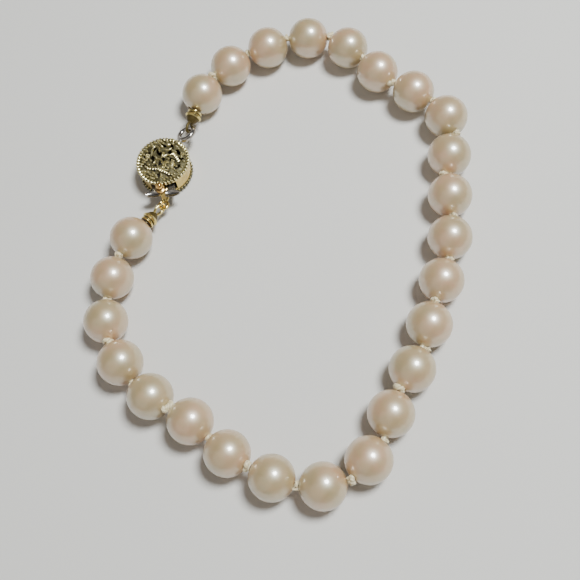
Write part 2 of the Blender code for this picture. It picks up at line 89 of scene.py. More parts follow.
def swollen(value: float, power: float) -> float:
    """Raise the size of a value to a power and keep its sign; powers below 1 square off a round section."""
    return math.copysign(abs(value) ** power, value)


class Metal(Enum):
    """The kinds of metal that the metal pieces take their finish from."""

    GOLD = "gold"
    ANTIQUE_GOLD = "antique_gold"
    SILVER = "silver"


class Wire:
    """A socket of a node tree that can stand in Python expressions."""

    def __init__(self, graph: "Graph", socket: bpy.types.NodeSocket) -> None:
        """Keep the socket and the graph that it belongs to."""
        self.graph = graph
        self.socket = socket

    def _join(self, operation: str, first: Value, second: Value) -> "Wire":
        """Add a Math node on two values."""
        return self.graph.node("ShaderNodeMath", {"operation": operation}, {0: first, 1: second})

    def __add__(self, other: Value) -> "Wire":
        """Sum."""
        return self._join("ADD", self, other)

    def __radd__(self, other: Value) -> "Wire":
        """Sum, with this socket on the right."""
        return self._join("ADD", other, self)

    def __sub__(self, other: Value) -> "Wire":
        """Difference."""
        return self._join("SUBTRACT", self, other)

    def __rsub__(self, other: Value) -> "Wire":
        """Difference, with this socket on the right."""
        return self._join("SUBTRACT", other, self)

    def __mul__(self, other: Value) -> "Wire":
        """Product."""
        return self._join("MULTIPLY", self, other)

    def __rmul__(self, other: Value) -> "Wire":
        """Product, with this socket on the right."""
        return self._join("MULTIPLY", other, self)

    def __pow__(self, other: Value) -> "Wire":
        """Power."""
        return self._join("POWER", self, other)

    def spread(self, low: float, high: float, to_low: float = 0.0, to_high: float = 1.0) -> "Wire":
        """Map the range from low to high smoothly onto another range.

        Args:
            low: value that becomes to_low.
            high: value that becomes to_high.
            to_low: lower end of the new range.
            to_high: upper end of the new range.

        Returns:
            The mapped value.
        """
        values = {"Value": self, "From Min": low, "From Max": high, "To Min": to_low, "To Max": to_high}
        return self.graph.node("ShaderNodeMapRange", {"interpolation_type": "SMOOTHSTEP"}, values)


class Graph:
    """The node tree of a material or of the surroundings."""

    def __init__(self, tree: bpy.types.NodeTree) -> None:
        """Keep the tree that the nodes go into."""
        self.tree = tree

    def feed(self, socket: bpy.types.NodeSocket, value: Value) -> None:
        """Link a socket to a wire, or set its own value.

        Args:
            socket: the input to fill.
            value: a wire, a number or a colour.
        """
        if isinstance(value, Wire):
            self.tree.links.new(value.socket, socket)
        elif isinstance(value, tuple) and socket.type == "RGBA":
            socket.default_value = (*value, 1.0)
        else:
            socket.default_value = value

    def node(
        self,
        kind: str,
        settings: dict[str, Any] | None = None,
        values: dict[Any, Value] | None = None,
        output: Any = 0,
    ) -> Wire:
        """Add a node of any type.

        Args:
            kind: the node's type.
            settings: its own settings, set first.
            values: what its sockets get.
            output: the output that is returned.

        Returns:
            A wire from the chosen output.
        """
        made = self.tree.nodes.new(kind)
        for name, setting in (settings or {}).items():
            setattr(made, name, setting)
        for key, value in (values or {}).items():
            self.feed(made.inputs[key], value)
        return Wire(self, made.outputs[output])

    def mix(self, share: Value, first: Value, second: Value) -> Wire:
        """Blend two colours.

        Args:
            share: 0 for the first colour, 1 for the second.
            first: colour or wire.
            second: colour or wire.

        Returns:
            The blended colour.
        """
        return self.node("ShaderNodeMix", {"data_type": "RGBA"}, {0: share, 6: first, 7: second}, 2)

    def place(self) -> Wire:
        """Return the point on the piece, in metres."""
        return self.node("ShaderNodeTexCoord", output="Object")

    def noise(self, size: float, detail: float = 2.0) -> Wire:
        """Return cloudy noise from 0 to 1, with clouds of a size in metres and a number of finer layers."""
        values = {"Vector": self.place(), "Scale": 1.0 / size, "Detail": detail}
        return self.node("ShaderNodeTexNoise", values=values)

    def attribute(self, name: str) -> Wire:
        """Read a number kept on the mesh."""
        return self.node("ShaderNodeAttribute", {"attribute_name": name}, output="Fac")

    def bump(self, height: Value, distance: float, strength: float) -> Wire:
        """Turn a height into a normal.

        Args:
            height: the height, from 0 to 1.
            distance: what 1 stands for, in metres.
            strength: share of the effect.

        Returns:
            The normal.
        """
        values = {"Height": height, "Distance": distance, "Strength": strength}
        return self.node("ShaderNodeBump", values=values, output="Normal")


class Finish:
    """Base of the finishes: makes a material with a Principled shader and fills its sockets."""

    def start(self, name: str) -> tuple[bpy.types.Material, Graph, bpy.types.Node]:
        """Make an empty material.

        Args:
            name: the material's name.

        Returns:
            The material, its graph and its shader node.
        """
        material = bpy.data.materials.new(name)
        material.use_nodes = True
        tree = material.node_tree
        return material, Graph(tree), tree.nodes["Principled BSDF"]

    def dress(self, graph: Graph, shader: bpy.types.Node, values: dict[str, Value]) -> None:
        """Fill sockets of the shader.

        Args:
            graph: the material's graph.
            shader: its Principled node.
            values: wires and constants by socket name.
        """
        for name, value in values.items():
            graph.feed(shader.inputs[name], value)


@dataclass(frozen=True)
class Nacre(Finish):
    """Cream nacre: a soft broad lustre under a clear skin, with faint rose and green overtones."""

    cream: Colour = (0.56, 0.37, 0.165)
    rose: Colour = (0.66, 0.37, 0.20)
    green: Colour = (0.44, 0.33, 0.145)
    pearliness: float = 0.18
    lustre: float = 0.43
    skin: float = 0.15
    tint_size: float = 7 * MM
    cloud_size: float = 1.6 * MM
    ripple_size: float = 0.28 * MM
    ripple_height: float = 0.02 * MM

    def material(self, name: str) -> bpy.types.Material:
        """Make the nacre.

        Args:
            name: the material's name.

        Returns:
            The material.
        """
        material, graph, shader = self.start(name)
        tint = graph.noise(self.tint_size, 1.0)
        cloud = graph.noise(self.cloud_size, 3.0)
        body = graph.mix(tint.spread(0.42, 0.62), self.green, self.rose)
        body = graph.mix(cloud.spread(0.35, 0.7, 0.35, 0.85), body, self.cream)
        ripple = graph.noise(self.ripple_size, 4.0)
        values = {
            "Base Color": body,
            "Metallic": self.pearliness,
            "Roughness": self.lustre + 0.08 * (cloud - 0.5),
            "IOR": 2.7,
            "Specular Tint": (0.82, 0.97, 1.0),
            "Subsurface Weight": 0.2,
            "Subsurface Radius": (1.0, 0.62, 0.42),
            "Subsurface Scale": 0.8 * MM,
            "Coat Weight": 0.9 + 0.2 * (cloud - 0.5),
            "Coat Roughness": self.skin,
            "Coat IOR": 2.0,
            "Sheen Weight": 0.15,
            "Sheen Roughness": 0.3,
            "Sheen Tint": (1.0, 0.76, 0.68),
            "Normal": graph.bump(ripple, self.ripple_height, 0.12),
        }
        self.dress(graph, shader, values)
        return material


@dataclass(frozen=True)
class Silk(Finish):
    """Twisted cream silk with fine fibres, with painted shade in the grooves between its plies."""

    light: Colour = (0.88, 0.77, 0.50)
    shade: Colour = (0.60, 0.48, 0.27)
    fibre_size: float = 0.07 * MM
    fibre_height: float = 0.04 * MM

    def material(self, name: str) -> bpy.types.Material:
        """Make the silk.

        Args:
            name: the material's name.

        Returns:
            The material.
        """
        material, graph, shader = self.start(name)
        groove = graph.attribute("depth")
        fibre = graph.noise(self.fibre_size, 3.0)
        # shade: painted shade in the grooves between plies, mixed with random fibre tone.
        shade = (groove * 0.7 + fibre * 0.5).spread(0.2, 1.0)
        values = {
            "Base Color": graph.mix(shade, self.light, self.shade),
            "Roughness": 0.28 + 0.2 * fibre,
            "Specular IOR Level": 0.7,
            "Subsurface Weight": 0.15,
            "Subsurface Radius": (1.0, 0.8, 0.6),
            "Subsurface Scale": 0.3 * MM,
            "Sheen Weight": 0.35,
            "Sheen Roughness": 0.4,
            "Normal": graph.bump(fibre, self.fibre_height, 0.5),
        }
        self.dress(graph, shader, values)
        return material


@dataclass(frozen=True)
class MetalFinish(Finish):
    """Plated metal: bright where it is worn, dull and dark by its depth mark, which is patina in hollows and
    painted shade under things and on inner faces.
    """

    bright: Colour
    worn: Colour
    tarnish_and_shade: Colour
    gloss: float
    dull: float
    speck: float = 0.5
    cloud_size: float = 0.9 * MM
    speck_size: float = 0.12 * MM
    speck_height: float = 0.015 * MM

    def material(self, name: str) -> bpy.types.Material:
        """Make the metal.

        Args:
            name: the material's name.

        Returns:
            The material.
        """
        material, graph, shader = self.start(name)
        depth = graph.attribute("depth")
        cloud = graph.noise(self.cloud_size, 3.0)
        fine = graph.noise(self.speck_size, 3.0)
        # Patina and painted shade from the depth mark, with random tarnish clouds, pull the colour toward the
        # dark tarnish colour.
        patina_and_shade = (depth + 0.4 * (cloud - 0.5) + 0.3 * (fine - 0.5)).spread(0.15, 0.75)
        skin = graph.mix(cloud.spread(0.35, 0.65), self.bright, self.worn)
        values = {
            "Base Color": graph.mix(patina_and_shade, skin, self.tarnish_and_shade),
            "Metallic": 1.0 - 0.35 * patina_and_shade,
            "Roughness": self.gloss + (self.dull - self.gloss) * patina_and_shade + 0.12 * (fine - 0.5),
            "Normal": graph.bump(fine + 0.5 * cloud, self.speck_height, self.speck),
        }
        self.dress(graph, shader, values)
        return material


@dataclass(frozen=True)
class PaleBoard(Finish):
    """The plain pale board that the bracelet lies on."""

    colour: Colour = (0.74, 0.71, 0.67)
    shade: Colour = (0.70, 0.67, 0.63)
    cloud_size: float = 60 * MM
    tooth_size: float = 0.5 * MM
    tooth_height: float = 0.03 * MM

    def material(self, name: str) -> bpy.types.Material:
        """Make the board's matt paper.

        Args:
            name: the material's name.

        Returns:
            The material.
        """
        material, graph, shader = self.start(name)
        tooth = graph.noise(self.tooth_size, 4.0)
        values = {
            "Base Color": graph.mix(graph.noise(self.cloud_size), self.colour, self.shade),
            "Roughness": 0.75 + 0.1 * tooth,
            "Specular IOR Level": 0.25,
            "Normal": graph.bump(tooth, self.tooth_height, 0.3),
        }
        self.dress(graph, shader, values)
        return material


METAL_FINISHES = {
    Metal.GOLD: MetalFinish((0.84, 0.64, 0.22), (0.72, 0.52, 0.17), (0.12, 0.08, 0.03), 0.16, 0.5),
    Metal.ANTIQUE_GOLD: MetalFinish((0.95, 0.85, 0.48), (0.74, 0.64, 0.30), (0.055, 0.044, 0.016), 0.27, 0.6),
    Metal.SILVER: MetalFinish((0.56, 0.52, 0.48), (0.40, 0.37, 0.34), (0.08, 0.07, 0.06), 0.2, 0.5),
}
LEMON_GILT = MetalFinish((0.95, 0.80, 0.36), (0.78, 0.62, 0.22), (0.10, 0.07, 0.02), 0.18, 0.5)
ORANGE_GILT = MetalFinish((0.92, 0.60, 0.22), (0.82, 0.50, 0.16), (0.16, 0.09, 0.03), 0.16, 0.4)


class Form:
    """A mesh that is gathered from closed shapes; each point also keeps a depth mark from 0 to 1 that darkens
    its colour: patina in hollows, and painted shade in creases, under things and on inner faces.
    """

    def __init__(self) -> None:
        """Start without points."""
        self.points: list[Vector] = []
        self.faces: list[tuple[int, ...]] = []
        self.depths: list[float] = []

    def add(self, points: list[Vector], faces: list[tuple[int, ...]], depths: list[float]) -> None:
        """Add a shape.

        Args:
            points: its points.
            faces: its faces, counted from its own first point.
            depths: one depth for each point.
        """
        first = len(self.points)
        self.points += points
        self.depths += depths
        self.faces += [tuple(first + corner for corner in face) for face in faces]

    def skin(self, rings: list[Ring], depths: list[list[float]], closed: bool = False) -> None:
        """Add a body through successive rings of points.

        Args:
            rings: rings with the same number of points.
            depths: a depth for each point of each ring.
            closed: True joins the last ring to the first, False caps both ends.
        """
        sides = len(rings[0])
        points = [point for ring in rings for point in ring]
        flat = [depth for row in depths for depth in row]
        faces: list[tuple[int, ...]] = []
        rows = len(rings) if closed else len(rings) - 1
        for row in range(rows):
            here, there = row * sides, (row + 1) % len(rings) * sides
            for side in range(sides):
                after = (side + 1) % sides
                faces.append((here + side, here + after, there + after, there + side))
        if not closed:
            last = (len(rings) - 1) * sides
            faces.append(tuple(reversed(range(sides))))
            faces.append(tuple(range(last, last + sides)))
        self.add(points, faces, flat)

    def tube(
        self,
        path: list[Vector],
        radii: list[float],
        sides: int,
        closed: bool = False,
        flute: float = 0.0,
        flutes: int = 3,
        twist: float = 0.0,
        flat: float = 1.0,
        hint: Vector | None = None,
        depth: float = 0.0,
    ) -> None:
        """Sweep a round or fluted section along a path.

        Args:
            path: points of its centre line.
            radii: one radius for each point.
            sides: points round the section.
            closed: True for a ring.
            flute: share of the radius that the grooves between strands take.
            flutes: number of strands.
            twist: turns of the section over the whole path.
            flat: height of the section in shares of its width, along the hint.
            hint: direction that the section's height follows, or None.
            depth: depth kept on its points.
        """
        count = len(path)
        rings, depths = [], []
        across = None
        for i, point in enumerate(path):
            ahead = path[(i + 1) % count] if closed or i + 1 < count else point
            behind = path[i - 1] if closed or i else point
            along = (ahead - behind).normalized()
            if hint is not None:
                across = hint.cross(along).normalized()
            else:
                seed = across or (UP if abs(along.z) < STEEP else Vector((1.0, 0.0, 0.0)))
                across = (seed - along * seed.dot(along)).normalized()
            rise = along.cross(across)
            ring, row = [], []
            for angle in turns(sides):
                spin = flutes * (angle + 2 * math.pi * twist * i / count)
                groove = 0.5 - 0.5 * math.cos(spin)
                reach = radii[i] * (1 - flute * groove)
                ring.append(point + across * math.cos(angle) * reach + rise * math.sin(angle) * reach * flat)
                # Grooves between strands get painted shade in the depth mark.
                row.append(min(1.0, depth + (GROOVE_SHADE * groove if flute else 0.0)))
            rings.append(ring)
            depths.append(row)
        self.skin(rings, depths, closed)

    def hoop(
        self,
        lie: Matrix,
        long: float,
        wide: float,
        wire: float,
        steps: int,
        depth: float,
        pinch: float = 0.0,
        sides: int = WIRE_SIDES,
    ) -> None:
        """Add a ring or a loop of wire.

        Args:
            lie: where it lies, with its length along X and its width along Y.
            long: its outer length.
            wide: its outer width.
            wire: thickness of the wire.
            steps: pieces of its length.
            depth: depth kept on its points.
            pinch: share of the width that it loses at its end on the -X side.
            sides: points round the wire.
        """
        path = []
        for turn in turns(steps):
            narrow = 1 - pinch * (0.5 - 0.5 * math.cos(turn))
            x = (long - wire) / 2 * math.cos(turn)
            path.append(lie @ Vector((x, (wide - wire) / 2 * math.sin(turn) * narrow, 0.0)))
        normal = (lie.to_3x3() @ UP).normalized()
        self.tube(path, [wire / 2] * steps, sides, True, hint=normal, depth=depth)

    def lathe(
        self, profile: list[tuple[float, float]], sides: int, matrix: Matrix, depths: list[float]
    ) -> None:
        """Turn a profile about X.

        Args:
            profile: pairs of place along X and radius.
            sides: points round the axis.
            matrix: where it goes.
            depths: one depth for each pair.
        """
        rings = []
        for along, radius in profile:
            ring = [Vector((along, radius * math.cos(a), radius * math.sin(a))) for a in turns(sides)]
            rings.append([matrix @ point for point in ring])
        self.skin(rings, [[depth] * sides for depth in depths])

    def granule(self, centre: Vector, radius: float) -> None:
        """Add a small bead of metal, with painted shade towards its foot.

        Args:
            centre: its middle.
            radius: its radius.
        """
        rows = GRANULE_SIDES // 2
        tilts = [math.pi * (row + GRANULE_POLE) / (rows + 2 * GRANULE_POLE) for row in range(rows + 1)]
        profile = [(-radius * math.cos(t), radius * math.sin(t)) for t in tilts]
        stand = Matrix.Translation(centre) @ Matrix.Rotation(-math.pi / 2, 4, "Y")
        depths = [GRANULE_SHADE * (1 - row / rows) for row in range(rows + 1)]
        self.lathe(profile, GRANULE_SIDES, stand, depths)

    def grain(
        self, centre: Vector, along: Vector, up: Vector, length: float, width: float, skew: float
    ) -> None:
        """Add one slanted grain of a rope, an egg with painted shade on its underside.

        Args:
            centre: its middle.
            along: the rope's direction.
            up: the direction that the grain faces.
            length: its length.
            width: its width and height.
            skew: angle of its length from the rope's direction, in degrees.
        """
        across = up.cross(along).normalized()
        ahead = across.cross(up).normalized()
        lean = math.radians(skew)
        long_way = ahead * math.cos(lean) + across * math.sin(lean)
        short_way = across * math.cos(lean) - ahead * math.sin(lean)
        rise = up.normalized()
        rings, rows = [], []
        for step in range(GRAIN_STEPS + 1):
            tilt = math.pi * (step + GRAIN_POLE) / (GRAIN_STEPS + 2 * GRAIN_POLE)
            ring, row = [], []
            for angle in turns(GRAIN_SIDES):
                high = math.sin(tilt) * math.sin(angle)
                flat = short_way * math.sin(tilt) * math.cos(angle) * width / 2
                ring.append(centre - long_way * math.cos(tilt) * length / 2 + flat + rise * high * width / 2)
                # Painted shade: dark on the underside, light on top.
                row.append(min(1.0, max(0.0, GRAIN_SHADE - GRAIN_SHADE_FALL * high)))
            rings.append(ring)
            rows.append(row)
        self.skin(rings, rows)

    def finish(
        self, name: str, material: bpy.types.Material, matrix: Matrix | None = None
    ) -> bpy.types.Object:
        """Make the piece and let it ride on the root body.

        Args:
            name: the piece's name.
            material: its finish.
            matrix: the frame that its points are in, or None for the row frame.

        Returns:
            The piece.
        """
        mesh = bpy.data.meshes.new(name)
        place = matrix or Matrix.Identity(4)
        mesh.from_pydata([tuple(place @ point) for point in self.points], [], self.faces)
        mesh.validate()
        # The depth mark: patina in hollows and painted shade in creases, on undersides and on inner faces.
        depth = mesh.attributes.new("depth", "FLOAT", "POINT")
        depth.data.foreach_set("value", np.array(self.depths, np.float32))
        mesh.shade_smooth()
        mesh.set_sharp_from_angle(angle=math.radians(SHARP_ANGLE))
        mesh.materials.append(material)
        piece = bpy.data.objects.new(name, mesh)
        bpy.context.scene.collection.objects.link(piece)
        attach(piece, "root")
        return piece


def smooth_path(points: list[Vector], steps: int) -> list[Vector]:
    """Run a smooth open curve through a few points.

    Args:
        points: the points that it passes.
        steps: pieces between two of them.

    Returns:
        Points along the curve.
    """
    ends = [points[0] * 2 - points[1], *points, points[-1] * 2 - points[-2]]
    curve = []
    for i in range(len(points) - 1):
        a, b, c, d = ends[i : i + 4]
        for step in range(steps):
            t = step / steps
            linear = (c - a) * t
            square = (a * 2 - b * 5 + c * 4 - d) * t * t
            cube = (b * 3 - a - c * 3 + d) * t**3
            curve.append((b * 2 + linear + square + cube) / 2)
    return [*curve, points[-1].copy()]


def aim(direction: Vector, turn: float = 0.0) -> Matrix:
    """Lay X along a direction with Y level.

    Args:
        direction: where X goes.
        turn: turn about X afterwards, in degrees.

    Returns:
        The rotation.
    """
    forward = direction.normalized()
    left = UP.cross(forward).normalized()
    stand = Matrix((forward, left, forward.cross(left))).transposed()
    return (stand @ Matrix.Rotation(math.radians(turn), 3, "X")).to_4x4()


@dataclass
class PearlRow:
    """Twenty-five round pearls, each drilled along the line of the thread."""

    count: int = 25
    diameter: float = 6.5 * MM
    bore: float = 0.7 * MM
    space: float = 0.4 * MM
    rim: float = 0.06 * MM
    sides: int = 64
    rows: int = 40
    unevenness: float = 0.004
    swellings: float = 2.3
    size_spread: float = 0.006
    seed: int = 25
    odd_sizes: tuple[tuple[int, float], ...] = ((17, 0.99), (18, 0.98), (21, 1.01), (22, 1.02))

    def names(self) -> list[str]:
        """Return the names of the pearls' nodes in order."""
        return ["pearl_%02d" % (i + 1) for i in range(self.count)]

    def centres(self) -> list[Vector]:
        """Return the pearls' middles: in plan from the frame, and so high that each touches the board."""
        found = []
        for name in self.names():
            low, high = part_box(name)
            found.append(Vector(((low.x + high.x) / 2, (low.y + high.y) / 2, self.diameter / 2)))
        return found

    def gates(self) -> list[Vector]:
        """Return where the thread crosses between pearls: half way, and moved to the outside of the bend."""
        centres = self.centres()
        flat = [c.to_2d() for c in centres]
        legs = [after - here for here, after in zip(flat, flat[1:])]
        bends = [0.0, *(leg.angle_signed(after) for leg, after in zip(legs, legs[1:])), 0.0]
        reach = (self.diameter + self.space) / 2
        found = []
        for i in range(self.count - 1):
            along = (centres[i + 1] - centres[i]).normalized()
            left = UP.cross(along)
            sway = (math.sin(bends[i] / 2) + math.sin(bends[i + 1] / 2)) / 2 * reach
            found.append((centres[i] + centres[i + 1]) / 2 + left * sway)
        return found

    def pearl(self, matrix: Matrix, radius: float, aside: float, seed: float) -> Form:
        """Build one drilled pearl about its bore.

        Args:
            matrix: where it lies, with X along its bore.
            radius: its radius.
            aside: how far the bore is off centre, along Y.
            seed: makes its slight unevenness its own.

        Returns:
            The pearl's form.
        """
        form = Form()
        mouth = math.asin((self.bore / 2 + self.rim) / radius)
        rings: list[Ring] = []
        for row in range(self.rows + 1):
            tilt = mouth + (math.pi - 2 * mouth) * row / self.rows
            shift = aside * math.cos(tilt) ** 2
            ring = []
            for angle in turns(self.sides):
                y = shift + radius * math.sin(tilt) * math.cos(angle)
                z = radius * math.sin(tilt) * math.sin(angle)
                x = math.copysign(math.sqrt(max(radius**2 - y * y - z * z, 0.0)), math.cos(tilt))
                swell = math.sin(self.swellings * angle + seed) * math.sin(2 * tilt + seed)
                swell *= math.sin(tilt) ** 2
                ring.append(Vector((x, y, z)) * (1 - self.unevenness * (0.5 + 0.5 * swell)))
            rings.append(ring)
        for end, sign in ((rings[-1], 1), (rings[0], -1)):
            middle = sum(end, Vector()) / self.sides
            inner = []
            for point, angle in zip(end, turns(self.sides)):
                y, z = math.cos(angle) * self.bore / 2, math.sin(angle) * self.bore / 2
                inner.append(Vector((point.x + sign * self.rim, middle.y + y, z)))
            rings.append(inner)
        placed = [[matrix @ point for point in ring] for ring in rings]
        form.skin(placed, [[0.0] * self.sides for _ in placed], closed=True)
        return form

    def build(self) -> None:
        """Make the pearls, each in the place of its own node."""
        dice = random.Random(self.seed)
        odd = dict(self.odd_sizes)
        centres, gates = self.centres(), self.gates()
        nacre = Nacre().material("cream_nacre")
        ends = [centres[0] * 2 - gates[0], *gates, centres[-1] * 2 - gates[-1]]
        for i, name in enumerate(self.names()):
            share = odd.get(i + 1, 1.0 + dice.uniform(-self.size_spread, self.size_spread))
            radius = self.diameter / 2 * share
            line = (ends[i + 1] - ends[i]).normalized()
            left = UP.cross(line)
            aside = (ends[i] - centres[i]).dot(left)
            centre = Vector((centres[i].x, centres[i].y, radius))
            lay = Matrix.Translation(centre) @ aim(line)
            form = self.pearl(lay, radius, aside, dice.uniform(0, 6))
            piece = form.finish("nacre_" + name, nacre)
            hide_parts(name)
        log.info("pearls: %d", self.count)


class Bulk(Enum):
    """How a knot is tied: once, or with a second turn beside the first."""

    SINGLE = 1
    DOUBLE = 2


@dataclass(frozen=True)
class Knot:
    """One silk knot: its place in the groove between two pearls, and its size, in millimetres."""

    outward: float
    lift: float
    width: float
    bulk: Bulk = Bulk.SINGLE


KNOTS = (
    Knot(0.75, 0.6, 1.6),
    Knot(0.9, -0.1, 1.3),
    Knot(0.6, 0.6, 1.2),
    Knot(1.3, 0.3, 1.5, Bulk.DOUBLE),
    Knot(0.1, 0.5, 1.2),
    Knot(-0.7, 0.6, 1.3, Bulk.DOUBLE),
    Knot(0.75, 0.2, 1.4),
    Knot(1.3, 0.6, 1.2),
    Knot(-1.05, 0.45, 1.1),
    Knot(0.65, 0.35, 1.1),
    Knot(0.7, 0.1, 1.0),
    Knot(-0.15, 0.65, 1.45),
    Knot(1.0, -0.3, 0.95),
    Knot(-0.4, 0.7, 1.8),
    Knot(0.95, -0.5, 0.8),
    Knot(1.3, 0.5, 1.5, Bulk.DOUBLE),
    Knot(0.35, 0.35, 1.2),
    Knot(0.3, 0.5, 1.7, Bulk.DOUBLE),
    Knot(0.0, 0.0, 1.35),
    Knot(-0.2, 0.9, 1.8, Bulk.DOUBLE),
    Knot(0.8, -0.3, 1.0),
    Knot(0.5, 0.9, 1.7),
    Knot(0.1, -0.2, 0.9),
    Knot(0.3, 0.65, 1.35),
)


@dataclass
class SilkThread:
    """One silk thread through all the pearls, knotted in every space."""

    row: PearlRow
    thickness: float = 0.44 * MM
    plies: int = 3
    flute: float = 0.2
    sides: int = 12
    steps: int = 72
    clearance: float = 0.01 * MM
    neck_length: float = 1.1 * MM
    thread_twist: float = 4.0
    knot_twist: float = 5.0
    neck_twist: float = 0.3
    usual_knot: float = 1.2
    second_size: float = 0.72
    second_aside: float = 0.85
    major: float = 0.68
    minor: float = 0.42
    lobe_flat: float = 0.8
    lean: float = 0.5
    presses: int = 4
    path_steps: int = 8
    tip_reach: float = 0.6 * MM
    seed: int = 7

    def tie(self, centre: Vector, along: Vector, knot: Knot, dice: random.Random) -> Form:
        """Build one knot as a tight three-lobed turn of thread.

        Args:
            centre: its middle.
            along: the thread's direction there.
            knot: its size and kind.
            dice: gives it its own lie.

        Returns:
            The knot's form, before the pearls press it.
        """
        form = Form()
        strand = self.thickness / 2 * knot.width / self.usual_knot
        outer = knot.width * MM / 2
        for lobe in range(knot.bulk.value):
            size = outer * (self.second_size if lobe else 1.0)
            major, minor = (size - strand) * self.major, (size - strand) * self.minor
            pitch = Matrix.Rotation(dice.uniform(-self.lean, self.lean), 4, "Y")
            yaw = Matrix.Rotation(dice.uniform(-self.lean, self.lean), 4, "Z")
            turn = aim(along, dice.uniform(0, 360)) @ pitch @ yaw
            aside = turn @ Vector((0, 0, self.second_aside * outer)) if lobe else Vector()
            aside.z = abs(aside.z)
            path = []
            for t in turns(self.steps):
                reach = major + minor * math.cos(3 * t)
                x = minor * math.sin(3 * t) * self.lobe_flat
                local = Vector((x, reach * math.cos(2 * t), reach * math.sin(2 * t)))
                path.append(centre + aside + turn @ local)
            form.tube(path, [strand] * self.steps, self.sides, True, self.flute, self.plies, self.knot_twist)
        return form

    def press(self, form: Form, pearls: list[tuple[Vector, float]]) -> None:
        """Press a knot out of the pearls on either side.

        Args:
            form: the knot.
            pearls: middle and radius of each pearl.
        """
        for _ in range(self.presses):
            for i, point in enumerate(form.points):
                for middle, radius in pearls:
                    offset = point - middle
                    reach = radius + self.clearance
                    if offset.length < reach:
                        form.points[i] = point = middle + offset * (reach / offset.length)

    def draw(self, form: Form, points: list[Vector]) -> None:
        """Draw the thread through a few points.

        Args:
            form: what it is added to.
            points: the points that it passes.
        """
        path = smooth_path(points, self.path_steps)
        radii = [self.thickness / 2] * len(path)
        form.tube(path, radii, self.sides, False, self.flute, self.plies, self.thread_twist)

    def build(self) -> None:
        """Make the thread and its knots in the place of the thread's node."""
        dice = random.Random(self.seed)
        centres, gates = self.row.centres(), self.row.gates()
        whole = Form()
        middles = []
        neck_radii = [self.row.bore / 2 - self.clearance] * 4
        for i, knot in enumerate(KNOTS):
            along = (centres[i + 1] - centres[i]).normalized()
            left = UP.cross(along)
            middle = (centres[i] + centres[i + 1]) / 2 + left * knot.outward * MM + UP * knot.lift * MM
            middles.append(middle)
            form = self.tie(middle, along, knot, dice)
            self.press(form, [(centres[i], self.row.diameter / 2), (centres[i + 1], self.row.diameter / 2)])
            whole.add(form.points, form.faces, form.depths)
            neck = [gates[i] + along * self.neck_length * share for share in (-0.5, -0.2, 0.2, 0.5)]
            whole.tube(neck, neck_radii, self.sides, False, self.flute, self.plies, self.neck_twist)
        for i in range(1, len(centres) - 1):
            start, end = gates[i - 1], gates[i]
            self.draw(whole, [middles[i - 1], start, start.lerp(end, 0.5), end, middles[i]])
        for centre, gate, middle, node in (
            (centres[0], gates[0], middles[0], "bead_tip_b"),
            (centres[-1], gates[-1], middles[-1], "bead_tip_a"),
        ):
            low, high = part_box(node)
            far = (low + high) / 2
            outside = centre + (far - centre).normalized() * (self.row.diameter / 2 + self.tip_reach)
            outside.z = min(outside.z, centre.z)
            self.draw(whole, [middle, gate, centre.lerp(outside, 0.1), outside])
        piece = whole.finish("knotted_silk", Silk().material("twisted_cream_silk"))
        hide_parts("silk_thread")
        log.info("silk thread: %d knots", len(KNOTS))


class Ornament(Enum):
    """What the relief on the clasp's plates is made of."""

    ROPE = "rope"
    SCROLL = "scroll"
    LEAF = "leaf"
    GRAIN = "grain"
    GRANULE = "granule"
    FLOWER = "flower"


# Openings of the plates: places along and across, length and width, all in shares of the sizes, and the turn.
OPENINGS = (
    (0.63, 0.02, 0.26, 0.19, 60.0),
    (0.51, 0.33, 0.26, 0.19, -20.0),
    (0.55, -0.32, 0.26, 0.18, 10.0),
    (0.26, 0.59, 0.28, 0.19, -50.0),
    (0.31, 0.14, 0.31, 0.20, 30.0),
    (0.30, -0.57, 0.26, 0.19, 40.0),
    (0.24, -0.24, 0.26, 0.19, -20.0),
    (0.04, 0.37, 0.32, 0.20, 10.0),
    (0.02, -0.65, 0.26, 0.19, 80.0),
    (-0.03, -0.36, 0.26, 0.19, 60.0),
    (-0.06, 0.02, 0.34, 0.20, -30.0),
    (-0.24, 0.60, 0.26, 0.20, 50.0),
    (-0.32, -0.54, 0.28, 0.19, -60.0),
    (-0.35, -0.18, 0.28, 0.19, 20.0),
    (-0.33, 0.25, 0.26, 0.19, -10.0),
    (-0.61, -0.22, 0.26, 0.18, 50.0),
    (-0.63, 0.12, 0.26, 0.18, -70.0),
)

